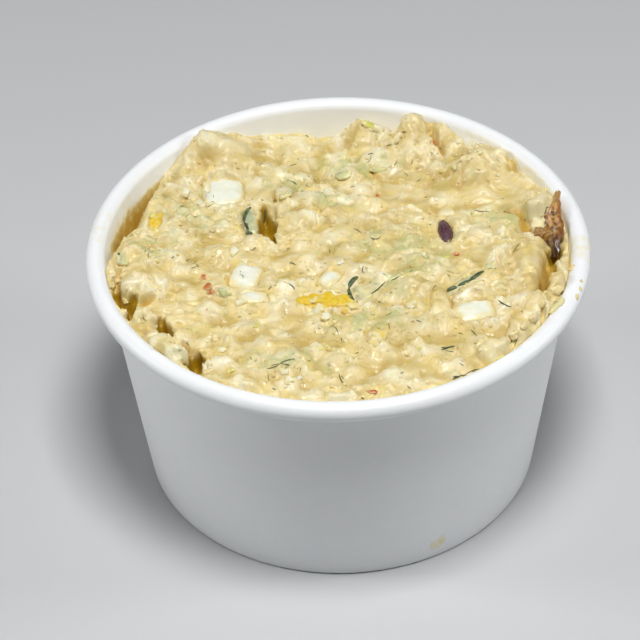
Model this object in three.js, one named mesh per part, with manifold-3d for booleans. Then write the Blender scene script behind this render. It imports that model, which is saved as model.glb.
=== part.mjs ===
// Potato salad in a round paper cup.
//
// A white paper cup with a rolled rim is filled to the brim with creamy potato salad.
// Pieces of boiled egg, pickled cucumber, a dark bean and a fried crisp are half sunk in
// its top. Millimetres, +Z up. The origin is on the table, at the centre of the cup's
// foot, and the front of the cup is towards -Y.

import * as THREE from 'three';
import { mergeVertices } from 'three/addons/utils/BufferGeometryUtils.js';
import Module from 'manifold-3d';

const wasm = await Module();
wasm.setup();

// ---- Driving dimensions ---------------------------------------------------------------

const CUP_HEIGHT = 61;
const RIM_RADIUS = 57.5;          // outside of the rolled rim
const ROLL_RADIUS = 2.2;          // outside of the roll's own round section
const ROLL_SWEEP = 290;           // degrees that the board turns in the roll
const FOOT_RADIUS = 46;           // outside of the wall where it stands on the table
const WALL_SLOPE = 7.3 / 57;      // how far the wall leans out for each mm of height
const BOARD = 0.5;                // thickness of the paper board
const GAP = 0.3;                  // clearance between one piece and the next
const BASE_HEIGHT = 8;            // top of the recessed base
const HEM_HEIGHT = 7;             // the wall's lower edge, folded in and up
const ROUND_SIDES = 48;           // facets round the cup

const SALAD_FRONT = 59.4;         // height of the salad's top at the front wall
const SALAD_BACK = 53.2;          // and at the back wall
const GRID = 40;                  // cells across the salad's top
const TOP_CLEARANCE = 75;         // height that is clear above everything in the cup

const SHRUNK_AT = 156;            // degrees from +X where it has come away from the wall
const SHRUNK_SPREAD = 15;         // degrees to either side
const SHRUNK_WIDTH = 3.2;
const SHRUNK_DEPTH = 9;

const FREE_LUMPS = 210;           // places tried for lumps besides the ones placed by name
const LUMP_LENGTH = [5, 8.5];     // shortest and longest
const LUMP_WIDTH = [0.6, 0.95];   // as a share of the length
const LUMP_RISE = [0.8, 1.9];
const PLACE_SHIFT = [-1, 1];      // how far a lump lies from its place on the spiral
const CLEAR_OF_PIECE = 5;
const CLEAR_OF_PIT = 3;
const SEED = 2718;

// ---- Small helpers --------------------------------------------------------------------

const radians = THREE.MathUtils.degToRad;

// Numbers from 0 to 1 that are the same on every run.
function randomSource(seed) {
  let state = seed;
  return function next() {
    state = (state * 1664525 + 1013904223) % 4294967296;
    return state / 4294967296;
  };
}

// The radius of the wall's inner face at a height.
function innerWall(height) {
  return FOOT_RADIUS + WALL_SLOPE * height - BOARD;
}

// Leaves only positions, joins equal corners, drops empty triangles and turns faces out.
function closedShape(geometry) {
  geometry.deleteAttribute('normal');
  geometry.deleteAttribute('uv');
  const merged = mergeVertices(geometry, 1e-4);
  const at = merged.getAttribute('position');
  const triangles = [];
  let volume = 0;
  const corners = [new THREE.Vector3(), new THREE.Vector3(), new THREE.Vector3()];
  for (let i = 0; i < merged.index.count; i += 3) {
    const [a, b, c] = [0, 1, 2].map((k) => merged.index.getX(i + k));
    if (a !== b && b !== c && c !== a) {
      triangles.push(a, b, c);
      [a, b, c].forEach((v, k) => corners[k].fromBufferAttribute(at, v));
      volume += corners[0].dot(corners[1].cross(corners[2]));
    }
  }
  merged.setIndex(volume < 0 ? triangles.reverse() : triangles);
  return merged;
}

function toSolid(geometry) {
  const shape = closedShape(geometry);
  return new wasm.Manifold(new wasm.Mesh({
    numProp: 3,
    vertProperties: new Float32Array(shape.getAttribute('position').array),
    triVerts: new Uint32Array(shape.index.array),
  }));
}

function toGeometry(solid) {
  const mesh = solid.getMesh();
  const geometry = new THREE.BufferGeometry();
  geometry.setAttribute('position', new THREE.BufferAttribute(mesh.vertProperties, 3));
  geometry.setIndex(new THREE.BufferAttribute(mesh.triVerts, 1));
  return geometry;
}

// A solid of revolution round Z from an outline of [radius, height] points.
function revolve(outline) {
  const points = outline.map(([r, z]) => new THREE.Vector2(r, z));
  return new THREE.LatheGeometry(points, ROUND_SIDES).rotateX(Math.PI / 2);
}

// A closed body through rings of points that all have the same number of corners.
function loft(rings) {
  const sides = rings[0].length;
  const points = rings.flat();
  const first = points.length;
  const last = first + 1;
  const middle = (ring) => ring
    .reduce((sum, p) => sum.add(p), new THREE.Vector3()).divideScalar(sides);
  points.push(middle(rings[0]), middle(rings[rings.length - 1]));
  const index = [];
  for (let s = 0; s < sides; s += 1) {
    const t = (s + 1) % sides;
    for (let k = 0; k + 1 < rings.length; k += 1) {
      const low = k * sides;
      const high = low + sides;
      index.push(low + s, low + t, high + t, low + s, high + t, high + s);
    }
    const end = (rings.length - 1) * sides;
    index.push(first, t, s, last, end + s, end + t);
  }
  return new THREE.BufferGeometry().setFromPoints(points).setIndex(index);
}

// ---- The cup --------------------------------------------------------------------------

// The outline of a strip of board, from the line that runs along its middle.
function boardOutline(middle) {
  const sideOf = (sign) => middle.map((point, i) => {
    const here = new THREE.Vector2(...point);
    const before = new THREE.Vector2(...middle[Math.max(i - 1, 0)]);
    const after = new THREE.Vector2(...middle[Math.min(i + 1, middle.length - 1)]);
    const arriving = (i > 0 ? here.clone().sub(before) : after.clone().sub(here)).normalize();
    const leaving = (i + 1 < middle.length ? after.sub(here) : arriving.clone()).normalize();
    const bisector = arriving.clone().add(leaving).normalize();
    const reach = (sign * BOARD / 2) / bisector.dot(arriving);
    return [here.x - bisector.y * reach, here.y + bisector.x * reach];
  });
  const outline = [...sideOf(1), ...sideOf(-1).reverse()];
  return [...outline, outline[0]];
}

// The wall: a hem folded inwards at the foot, the leaning wall, and the roll at the rim.
function cupWall() {
  const wallLine = (height) => FOOT_RADIUS - BOARD / 2 + WALL_SLOPE * height;
  const hemInset = 2 * BOARD + 2 * GAP;
  const rollMiddle = [RIM_RADIUS - ROLL_RADIUS, CUP_HEIGHT - ROLL_RADIUS];
  const rollLine = ROLL_RADIUS - BOARD / 2;
  const middle = [
    [wallLine(HEM_HEIGHT) - hemInset, HEM_HEIGHT],
    [wallLine(BOARD / 2) - hemInset, BOARD / 2],
    [wallLine(BOARD / 2), BOARD / 2],
  ];
  const lean = radians(180) - Math.atan(WALL_SLOPE);
  const steps = 11;
  for (let k = 0; k <= steps; k += 1) {
    const angle = lean - radians(ROLL_SWEEP) * (k / steps);
    middle.push([
      rollMiddle[0] + rollLine * Math.cos(angle),
      rollMiddle[1] + rollLine * Math.sin(angle),
    ]);
  }
  return closedShape(revolve(boardOutline(middle)));
}

// The base: a flat disc whose edge turns down between the wall and its hem.
function cupBase() {
  const skirtOutside = (height) => innerWall(height) - GAP;
  const skirtFoot = BOARD + GAP;
  const underside = BASE_HEIGHT - BOARD;
  return closedShape(revolve([
    [0, BASE_HEIGHT],
    [skirtOutside(BASE_HEIGHT), BASE_HEIGHT],
    [skirtOutside(skirtFoot), skirtFoot],
    [skirtOutside(skirtFoot) - BOARD, skirtFoot],
    [skirtOutside(underside) - BOARD, underside],
    [0, underside],
  ]));
}

// ---- The salad's top ------------------------------------------------------------------

// Swells and dips of the top: x, y, half length, half width, direction, height.
const SWELLS = [
  [-31, 43, 11, 8, 130, 8.0],     // pushed up the wall, back left
  [18, 46, 6, 6, 0, 6.6],         // pushed over the rim at the back
  [7, 50, 5, 4, 0, 3.5],
  [37, 36, 10, 9, 45, 6.0],       // pushed up the wall, back right
  [50, 14, 8, 8, 0, 5.5],
  [46, -22, 9, 4, 60, 2.4],       // the raised edge along the front right
  [38, -34, 9, 4, 45, 1.8],
  [-41, 15, 9, 12, 0, 1.6],       // the left shoulder
  [-44, -7, 10, 6, 0, 1.8],
  [-9, 14, 8, 9, 0, 1.3],
  [12, -11, 11, 7, 20, 1.2],
  [21, -15, 6, 9, 0, 1.0],
  [42, -6, 5, 10, 0, 2.2],
  [25, -38, 14, 6, 25, -1.0],     // where the spoon pressed it down
  [-20, -24, 15, 5, -12, -1.0],
  [22, 27, 12, 6, -20, -1.0],
  [-3, 34, 12, 8, 0, -0.8],
];

function smoothHeight(x, y) {
  const wall = innerWall(SALAD_FRONT);
  const fromFront = (y + wall) / (2 * wall);
  const level = SALAD_FRONT + (SALAD_BACK - SALAD_FRONT) * fromFront;
  return SWELLS.reduce((height, [cx, cy, length, width, direction, rise]) => {
    const turn = radians(direction);
    const along = ((x - cx) * Math.cos(turn) + (y - cy) * Math.sin(turn)) / length;
    const across = ((y - cy) * Math.cos(turn) - (x - cx) * Math.sin(turn)) / width;
    return height + rise * Math.exp(-along * along - across * across);
  }, level);
}

// Potato lumps under the dressing: x, y, length, width, direction, rise.
const LUMPS = [
  [-38, -34, 9, 8, -45, 1.8],
  [-28, -29, 8, 5, 30, 1.2],
  [-27, -45, 8, 6, -30, 1.4],
  [-12.5, 26, 7, 5, 100, 1.8],
  [-10.5, 15, 12, 8, 80, 1.8],
  [-6, 22, 6, 5, 0, 1.4],
  [-3, 5, 8, 6, 10, 1.2],
  [-35, 34, 8, 6, 60, 1.4],
  [-38, 26, 7, 6, 20, 1.3],
  [-22, 47, 8, 6, 0, 1.4],
  [25, 43, 8, 6, 100, 1.6],
  [32, 34, 8, 5.5, 80, 1.9],
  [37.5, 37, 8, 6, 0, 1.9],
  [46, 21, 7, 6, 60, 1.3],
  [18, -7.5, 8, 4.5, 95, 1.6],
  [17.5, -18, 7, 4.5, 80, 1.5],
  [27.5, -16, 7, 4.5, 80, 1.3],
  [8.5, -30, 7, 6, 80, 1.5],
  [3, -40, 8, 6, 0, 1.2],
];

// Lumps that overhang what lies beside them, as bodies of their own.
const OVERHANGS = [
  [-44, -8, 14, 8, -8, 1.8],      // the ledge over the left pit
  [-47.5, -19.5, 5.5, 4, -60, 1.4],
  [-32, 46, 9, 7, -30, 2.0],
  [8, 48, 8, 6, 0, 1.8],
  [18.5, 47, 9, 7, 20, 2.2],
  [43, -6, 16, 6.5, 83, 2.0],     // the tall lobe in front of the right crevice
  [21.5, -19, 9.5, 4, 85, 1.8],
  [48, -17, 8, 4.5, 60, 1.8],
  [44.5, -23, 9, 5, 62, 2.0],
  [40, -30, 8.5, 5, 55, 2.0],
  [34, -37.5, 8.5, 5, 45, 1.6],
];

// Pits and cracks: x, y, length, width, direction, depth.
const PITS = [
  [-16.3, 13, 13.5, 3.8, 88, 9],      // beside the cucumber
  [44.5, 9.5, 8, 6, 70, 5],           // under the crisp
  [47.6, -8.5, 14, 3, 77, 8],         // along the right wall
  [24.5, -18.6, 6, 1.8, 80, 3],
  [13.8, -17, 5, 1.6, 80, 2],
  [-48.2, -16.5, 13, 2.8, -68, 7],    // front left, three in a row
  [-38.8, -26.5, 7, 3, -52, 4.5],
  [-32.2, -36.5, 10, 3, -66, 7],
  [-14.9, 25, 5.5, 1.5, 105, 2.5],
  [14, 48.5, 4.5, 1.8, 80, 3],
];

const SMALL_PIT = 3;              // pits no deeper than this are cut with fewer facets

// Where the spoon left the salad smooth: x, y.
const SMOOTH = [
  [-30, 38], [-24, 40], [12, 32], [19, 29], [26, 26], [40, 25], [-20, -22], [-12, -25],
  [33, -29], [27, -37], [-4, 31], [-44, -8], [43, -6],
];

function distanceTo(x, y, list) {
  return Math.min(...list.map(([cx, cy]) => Math.hypot(x - cx, y - cy)));
}

const draw = randomSource(SEED);
const drawBetween = ([low, high]) => low + (high - low) * draw();

// Further lumps on a sunflower spiral, left out where the salad is smooth, pitted or has
// one of its pieces.
function freeLumps() {
  const goldenAngle = radians(137.508);
  const reach = innerWall(SALAD_BACK) - LUMP_LENGTH[0] / 2;
  const unlumped = [...SMOOTH, ...PIECES.map(({ place }) => [place.x, place.y])];
  const found = [];
  for (let k = 0; k < FREE_LUMPS; k += 1) {
    const radius = reach * Math.sqrt((k + 0.5) / FREE_LUMPS);
    const x = radius * Math.cos(k * goldenAngle) + drawBetween(PLACE_SHIFT);
    const y = radius * Math.sin(k * goldenAngle) + drawBetween(PLACE_SHIFT);
    const length = drawBetween(LUMP_LENGTH);
    const width = length * drawBetween(LUMP_WIDTH);
    const direction = drawBetween([0, 180]);
    const rise = drawBetween(LUMP_RISE);
    if (distanceTo(x, y, unlumped) > CLEAR_OF_PIECE && distanceTo(x, y, PITS) > CLEAR_OF_PIT) {
      found.push([x, y, length, width, direction, rise]);
    }
  }
  return found;
}

// The top with every dressed lump standing out of it as a low dome.
function lumpyHeight(x, y, lumps) {
  const dome = lumps.reduce((best, [cx, cy, length, width, direction, rise]) => {
    const turn = radians(direction);
    const along = ((x - cx) * Math.cos(turn) + (y - cy) * Math.sin(turn)) / (length / 2);
    const across = ((y - cy) * Math.cos(turn) - (x - cx) * Math.sin(turn)) / (width / 2);
    const left = 1 - along * along - across * across;
    return left > 0 ? Math.max(best, rise * Math.sqrt(left)) : best;
  }, 0);
  return smoothHeight(x, y) + dome;
}

// How far from the axis the top reaches. It has shrunk from the wall on the back left.
function edgeRadius(direction, height) {
  const turned = (THREE.MathUtils.radToDeg(direction) - SHRUNK_AT) / SHRUNK_SPREAD;
  return innerWall(height) - GAP - SHRUNK_WIDTH * Math.exp(-turned * turned);
}

// A square grid drawn onto a disc so that its cells stay much the same size.
function squareToDisc(u, v) {
  if (u === 0 && v === 0) return [0, 0];
  const wide = Math.abs(u) > Math.abs(v);
  const radius = wide ? u : v;
  const angle = wide ? (Math.PI / 4) * (v / u) : Math.PI / 2 - (Math.PI / 4) * (u / v);
  return [radius * Math.cos(angle), radius * Math.sin(angle)];
}

// The mass of the salad, without its lumps: a fine top on plain sides and a flat bottom.
function saladCore(lumps) {
  const bottom = BASE_HEIGHT + GAP;
  const points = [];
  const row = GRID + 1;
  for (let j = 0; j <= GRID; j += 1) {
    for (let i = 0; i <= GRID; i += 1) {
      const [dx, dy] = squareToDisc((2 * i) / GRID - 1, (2 * j) / GRID - 1);
      const direction = Math.atan2(dy, dx);
      const wall = innerWall(SALAD_FRONT);
      const atEdge = smoothHeight(wall * Math.cos(direction), wall * Math.sin(direction));
      const reach = edgeRadius(direction, atEdge);
      points.push([dx * reach, dy * reach, lumpyHeight(dx * reach, dy * reach, lumps)]);
    }
  }
  const index = [];
  for (let j = 0; j < GRID; j += 1) {
    for (let i = 0; i < GRID; i += 1) {
      const a = j * row + i;
      index.push(a, a + 1, a + row + 1, a, a + row + 1, a + row);
    }
  }
  // The grid's border, counter-clockwise seen from above.
  const border = [];
  for (let i = 0; i < GRID; i += 1) border.push(i);
  for (let j = 0; j < GRID; j += 1) border.push(j * row + GRID);
  for (let i = GRID; i > 0; i -= 1) border.push(GRID * row + i);
  for (let j = GRID; j > 0; j -= 1) border.push(j * row);
  const addRing = (heightOf) => border.map((top) => {
    const [x, y, z] = points[top];
    const direction = Math.atan2(y, x);
    const height = heightOf(z);
    const reach = innerWall(height) - GAP;
    return points.push([reach * Math.cos(direction), reach * Math.sin(direction), height]) - 1;
  });
  const rings = [border, addRing((z) => z - SHRUNK_DEPTH), addRing(() => bottom)];
  const centre = points.push([0, 0, bottom]) - 1;
  for (let s = 0; s < border.length; s += 1) {
    const t = (s + 1) % border.length;
    for (let k = 0; k + 1 < rings.length; k += 1) {
      const upper = rings[k];
      const lower = rings[k + 1];
      index.push(upper[s], lower[s], lower[t], upper[s], lower[t], upper[t]);
    }
    index.push(centre, rings[2][t], rings[2][s]);
  }
  const corners = points.map((p) => new THREE.Vector3(...p));
  return toSolid(new THREE.BufferGeometry().setFromPoints(corners).setIndex(index));
}

// ---- Bodies set on the top -------------------------------------------------------------

// A body with rounded faces. A roundness of 1 is an ellipsoid, and less is nearer a box.
// At detail 0 it has twenty sides, and at detail 1 eighty.
function chunk([length, width, height], roundness, unevenness, random, detail = 1) {
  const geometry = new THREE.IcosahedronGeometry(1, detail);
  geometry.deleteAttribute('normal');
  geometry.deleteAttribute('uv');
  const shape = mergeVertices(geometry, 1e-4);
  const at = shape.getAttribute('position');
  const swell = (value) => Math.sign(value) * Math.abs(value) ** roundness;
  for (let i = 0; i < at.count; i += 1) {
    const wobble = 1 + unevenness * (2 * random() - 1);
    at.setXYZ(
      i,
      (swell(at.getX(i)) * wobble * length) / 2,
      (swell(at.getY(i)) * wobble * width) / 2,
      (swell(at.getZ(i)) * wobble * height) / 2,
    );
  }
  return shape;
}

// Rolls, tips and turns a shape, and sets it on the salad with its middle sunk by some mm.
function setOnSalad(shape, { x, y, direction = 0, tip = 0, roll = 0, sunk = 0 }) {
  return shape
    .rotateX(radians(roll))
    .rotateY(radians(-tip))
    .rotateZ(radians(direction))
    .translate(x, y, smoothHeight(x, y) - sunk);
}

// A lump is a little more than twice as thick as it rises, and most of that is buried.
function lumpSolid([x, y, length, width, direction, rise]) {
  const height = Math.min(2.4 * rise + 2, width);
  const shape = chunk([length, width, height], 0.85, 0.08, draw);
  return toSolid(setOnSalad(shape, { x, y, direction, sunk: height / 2 - rise }));
}

// A pit is cut by a rounded body whose middle lies at the surface.
function pitSolid([x, y, length, width, direction, depth]) {
  const shape = chunk([length, width, 2 * depth], 0.8, 0.06, draw, depth > SMALL_PIT ? 1 : 0);
  return toSolid(setOnSalad(shape, { x, y, direction }));
}

// ---- Pieces in the salad --------------------------------------------------------------

// A quarter of a cucumber slice: its point at the origin, its skin towards -X.
function quarterSlice(radius, sweep, thickness, more) {
  const halfSweep = radians(sweep) / 2;
  const point = more / 2 / Math.sin(halfSweep);
  const reach = radius + more / 2 + point;
  const skinStart = Math.PI - halfSweep;
  const outline = new THREE.Shape();
  outline.moveTo(point, 0);
  outline.lineTo(point + reach * Math.cos(skinStart), reach * Math.sin(skinStart));
  outline.absarc(point, 0, reach, skinStart, skinStart + 2 * halfSweep, false);
  outline.closePath();
  const depth = thickness + more;
  const slice = new THREE.ExtrudeGeometry(outline, {
    depth,
    bevelEnabled: false,
    curveSegments: 8,
  });
  return slice.translate(0, 0, -depth / 2);
}

// The crisp: a flake that leans from its hollow up against the rim, its broad side to the
// middle of the cup and upwards.
const CRISP_SPINE = [[48, -2, 54], [47.9, 3, 56.6], [49, 8.5, 59.6], [50.4, 13, 61.5],
  [51.2, 16.5, 62.7]];
const CRISP_WIDTHS = [4.6, 6.6, 5.6, 3.6, 1.4];
const CRISP_THICKNESS = 1.2;
const CRISP_FACE = new THREE.Vector3(-0.6, -0.3, 0.75);
const CRISP_CORNERS = 6;

function crispFlake(more) {
  const spine = CRISP_SPINE.map((p) => new THREE.Vector3(...p));
  const rings = spine.map((point, i) => {
    const before = spine[Math.max(i - 1, 0)];
    const after = spine[Math.min(i + 1, spine.length - 1)];
    const along = after.clone().sub(before).normalize();
    const across = along.clone().cross(CRISP_FACE).normalize();
    const through = across.clone().cross(along).normalize();
    const endways = (i === 0 ? -1 : 0) + (i === spine.length - 1 ? 1 : 0);
    return Array.from({ length: CRISP_CORNERS }, (_, k) => {
      const turn = (2 * Math.PI * k) / CRISP_CORNERS;
      return point.clone()
        .addScaledVector(along, (endways * more) / 2)
        .addScaledVector(across, ((CRISP_WIDTHS[i] + more) / 2) * Math.cos(turn))
        .addScaledVector(through, ((CRISP_THICKNESS + more) / 2) * Math.sin(turn));
    });
  });
  return loft(rings);
}

const EGG_WHITE = { color: 0xf3f5ea, roughness: 0.35 };
const EGG_YOLK = { color: 0xe8c21e, roughness: 0.7 };
const CUCUMBER = { color: 0x8fa67a, roughness: 0.4 };

// Each piece: its shape made by a function of one size more than true, then its place.
const PIECES = [
  {
    name: 'egg_white_1',
    look: EGG_WHITE,
    make: (more, random) => chunk([11 + more, 10 + more, 5 + more], 0.75, 0.04, random),
    place: { x: -26.8, y: 26.4, direction: 97, roll: 5, tip: 14, sunk: 1.9 },
  },
  {
    name: 'egg_white_2',
    look: EGG_WHITE,
    make: (more, random) => chunk([9 + more, 7.5 + more, 6 + more], 0.75, 0.05, random),
    place: { x: -21, y: -7.1, direction: 80, roll: -8, sunk: 1.6 },
  },
  {
    name: 'egg_white_3',
    look: EGG_WHITE,
    make: (more, random) => chunk([7.5 + more, 4.5 + more, 4 + more], 0.8, 0.06, random),
    place: { x: -19.4, y: -15.6, direction: 10, sunk: 0.8 },
  },
  {
    name: 'egg_white_4',
    look: EGG_WHITE,
    make: (more, random) => chunk([6.2 + more, 4.8 + more, 4.5 + more], 0.8, 0.05, random),
    place: { x: -2, y: -9.6, direction: 60, sunk: 0.7 },
  },
  {
    name: 'egg_white_5',
    look: EGG_WHITE,
    make: (more, random) => chunk([10 + more, 7.5 + more, 5 + more], 0.8, 0.05, random),
    place: { x: 30, y: -22, direction: 20, roll: 8, sunk: 1.5 },
  },
  {
    name: 'egg_yolk_1',
    look: EGG_YOLK,
    make: (more, random) => chunk([10.8 + more, 5.2 + more, 4 + more], 0.85, 0.1, random),
    place: { x: -2.6, y: -17, direction: -8, sunk: 0.9 },
  },
  {
    name: 'egg_yolk_2',
    look: EGG_YOLK,
    make: (more, random) => chunk([6.5 + more, 3 + more, 3.5 + more], 0.85, 0.08, random),
    place: { x: -42.2, y: 13.5, direction: 82, sunk: 0.8 },
  },
  {
    name: 'cucumber_1',
    look: CUCUMBER,
    make: (more, random) => chunk([11.2 + more, 3.8 + more, 5 + more], 0.7, 0.05, random),
    place: { x: -20.4, y: 14.4, direction: 95, roll: 10, sunk: 1.5 },
  },
  {
    name: 'cucumber_2',
    look: CUCUMBER,
    make: (more) => quarterSlice(8.5, 76, 3, more),
    place: { x: 11, y: -12.2, direction: 4, roll: -8, tip: 6, sunk: 0.3 },
  },
  {
    name: 'cucumber_3',
    look: CUCUMBER,
    make: (more, random) => chunk([11.5 + more, 2.6 + more, 4.5 + more], 0.75, 0.05, random),
    place: { x: 28.4, y: -11.6, direction: 40, sunk: 1.5 },
  },
  {
    name: 'dark_bean',
    look: { color: 0x57404a, roughness: 0.45 },
    make: (more, random) => chunk([9.5 + more, 4 + more, 3.6 + more], 1, 0.02, random),
    place: { x: 24.9, y: 8.9, direction: 103, tip: -8, sunk: 0.5 },
  },
];

// ---- Putting it together --------------------------------------------------------------

const dish = new THREE.Group();

function addMesh(name, geometry, { color, roughness, metalness = 0 }) {
  const material = new THREE.MeshStandardMaterial({ color, roughness, metalness });
  const mesh = new THREE.Mesh(geometry, material);
  mesh.name = name;
  dish.add(mesh);
}

// The space that the salad may fill: inside the wall, and straight up above the rim.
const rollMiddleHeight = CUP_HEIGHT - ROLL_RADIUS;
const insideCup = toSolid(revolve([
  [0, BASE_HEIGHT + GAP],
  [innerWall(BASE_HEIGHT + GAP) - GAP, BASE_HEIGHT + GAP],
  [innerWall(rollMiddleHeight) - GAP, rollMiddleHeight],
  [innerWall(rollMiddleHeight) - GAP, TOP_CLEARANCE],
  [0, TOP_CLEARANCE],
]));

let salad = saladCore([...LUMPS, ...freeLumps()]);
OVERHANGS.forEach((lump) => {
  salad = salad.add(lumpSolid(lump));
});
PITS.forEach((pit) => {
  salad = salad.subtract(pitSolid(pit));
});
salad = salad.intersect(insideCup);

// Every piece lies in a pocket that is a gap wider than the piece on all sides.
PIECES.forEach(({ name, look, make, place }, order) => {
  const pocket = toSolid(setOnSalad(make(2 * GAP, randomSource(SEED + order)), place));
  const piece = setOnSalad(make(0, randomSource(SEED + order)), place);
  salad = salad.subtract(pocket);
  addMesh(name, closedShape(piece), look);
});

salad = salad.subtract(toSolid(crispFlake(2 * GAP)));
addMesh('fried_crisp', closedShape(crispFlake(0)), { color: 0x8a5a2c, roughness: 0.55 });

addMesh('potato_salad', toGeometry(salad), { color: 0xebd79c, roughness: 0.45 });
addMesh('cup_wall', cupWall(), { color: 0xf4f5f6, roughness: 0.6 });
addMesh('cup_base', cupBase(), { color: 0xf0f0ee, roughness: 0.7 });

export default dish;
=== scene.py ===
# %% [markdown]
# # A paper cup of potato salad
#
# The real thing is potato and egg, boiled, chopped and turned in a thick yellow dressing with
# cucumber and dill, then spooned into a white paper cup and pressed down. A plain CAD model
# holds its true sizes. This lesson gives every surface of that model its looks. The salad's
# top is worked as a height map in numpy, because a map is the quickest way to pile thousands
# of lumps on each other and still know the height at every spot.

# %% Open the frame
import math

import bmesh
import bpy
import numpy as np
from mathutils import Euler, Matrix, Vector
from mathutils.bvhtree import BVHTree


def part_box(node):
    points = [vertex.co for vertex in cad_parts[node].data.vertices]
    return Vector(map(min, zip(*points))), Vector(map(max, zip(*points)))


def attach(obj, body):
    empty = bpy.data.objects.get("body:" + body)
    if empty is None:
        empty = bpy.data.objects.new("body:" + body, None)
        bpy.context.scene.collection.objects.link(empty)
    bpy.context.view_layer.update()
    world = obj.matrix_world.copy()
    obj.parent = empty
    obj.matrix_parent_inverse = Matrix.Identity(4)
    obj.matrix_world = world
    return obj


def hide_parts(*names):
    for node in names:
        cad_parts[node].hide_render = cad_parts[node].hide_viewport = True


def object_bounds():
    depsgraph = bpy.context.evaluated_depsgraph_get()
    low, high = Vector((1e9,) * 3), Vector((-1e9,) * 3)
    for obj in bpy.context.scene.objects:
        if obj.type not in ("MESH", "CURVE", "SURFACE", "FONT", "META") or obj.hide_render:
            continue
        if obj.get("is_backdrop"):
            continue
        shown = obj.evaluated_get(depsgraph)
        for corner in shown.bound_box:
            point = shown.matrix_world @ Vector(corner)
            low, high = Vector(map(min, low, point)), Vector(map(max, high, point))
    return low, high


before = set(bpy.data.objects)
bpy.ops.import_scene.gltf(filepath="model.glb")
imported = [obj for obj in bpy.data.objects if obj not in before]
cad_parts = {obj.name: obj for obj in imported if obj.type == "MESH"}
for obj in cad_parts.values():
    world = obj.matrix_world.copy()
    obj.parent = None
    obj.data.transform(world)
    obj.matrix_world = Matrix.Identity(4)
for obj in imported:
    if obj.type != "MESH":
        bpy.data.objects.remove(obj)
cad_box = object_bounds()

MM = 0.001
SEED = 48
chance = np.random.default_rng(SEED)
print("CAD box in mm:", [[round(c / MM, 1) for c in corner] for corner in cad_box])

# %% [markdown]
# ## The camera
#
# A photograph's camera can be worked out from a round rim: how flat its ellipse is gives the
# tilt, and how much the near side is larger than the far side gives the distance. The pixel
# tool below goes the other way: it gives the line of sight through a pixel of the 640 pixel
# wide photograph, so that a small piece seen in the photograph can be put on the salad where
# that line meets it.

# %% The camera and the line of sight through a pixel
PHOTO_WIDTH = 640                 # pixels, and as many high
SENSOR = 36.0                     # mm
FOCAL = 155.37                    # mm
CAMERA_AT = np.array([0.0, -490.763, 453.880])     # mm
CAMERA_TURN = Euler([math.radians(a) for a in (49.6853, 1.2485, -0.5332)])

camera = bpy.data.objects.new("camera", bpy.data.cameras.new("camera"))
camera.data.lens = FOCAL
camera.data.sensor_width = SENSOR
camera.location = CAMERA_AT * MM
camera.rotation_euler = CAMERA_TURN
bpy.context.scene.collection.objects.link(camera)
bpy.context.scene.camera = camera


def sight(pixels):
    """The direction from the camera through each pixel, as unit vectors."""
    x, y = np.asarray(pixels, float).reshape(-1, 2).T
    per_pixel = SENSOR / FOCAL / PHOTO_WIDTH
    right, up = (x - PHOTO_WIDTH / 2) * per_pixel, (PHOTO_WIDTH / 2 - y) * per_pixel
    ways = np.stack([right, up, -np.ones_like(x)], 1) @ np.array(CAMERA_TURN.to_matrix()).T
    return ways / np.linalg.norm(ways, axis=1, keepdims=True)


print("middle of the photograph looks along", sight([(320, 320)]).round(3))

# %% [markdown]
# ## The paper cup
#
# A paper cup is one strip of coated board, rolled into a cone. Its lower edge is folded in
# over the base's skirt, and its upper edge is curled outwards into the rim. It could be spun
# in bmesh, but a lathe is a rule, so Geometry Nodes hold it here: an outline is swept along
# a small circle. The outline is the board's own middle line, given its thickness on both
# sides.

# %% The cup's sizes, from the frame
BOARD = 0.5                       # mm, the wall's thickness
ROLL = 2.2                        # outside radius of the curl's section
ROLL_SWEEP = math.radians(290)
HEM = 7.0                         # height of the fold at the foot
HEM_GAP = 0.3                     # air inside the fold
BASE_THICK = 0.5
BASE_CORNER = 0.8                 # radius where the base turns down into its skirt
WALL_LEAN = 7.3 / 57              # how far the wall leans out for each mm of height
SIDES = 256                       # facets round the cup
AXLE = 1.0                        # radius of the small circle that the outline is swept along

wall_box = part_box("cup_wall")
base_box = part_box("cup_base")
RIM_RADIUS = wall_box[1].x / MM
CUP_HEIGHT = wall_box[1].z / MM
BASE_TOP = base_box[1].z / MM
FOOT_RADIUS = 46.0
ROLL_HEIGHT = CUP_HEIGHT - ROLL


def inner_wall(height):
    """Radius of the wall's inner face."""
    return FOOT_RADIUS + WALL_LEAN * height - BOARD


print(f"rim {RIM_RADIUS:.1f}, height {CUP_HEIGHT:.1f}, base at {BASE_TOP:.1f} mm")


# %% The outlines
def thick_line(middle, thickness):
    """The closed outline of a strip of board along its middle line of (radius, height)."""
    line = np.asarray(middle, float)
    step = np.gradient(line, axis=0)
    step /= np.linalg.norm(step, axis=1, keepdims=True)
    side = np.stack([-step[:, 1], step[:, 0]], 1) * thickness / 2
    return np.vstack([line + side, (line - side)[::-1]])


def arc(centre, radius, start, sweep, steps):
    """Points along a round stretch of an outline."""
    turn = start + sweep * np.linspace(0, 1, steps)
    return np.stack([centre[0] + radius * np.cos(turn), centre[1] + radius * np.sin(turn)], 1)


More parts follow.
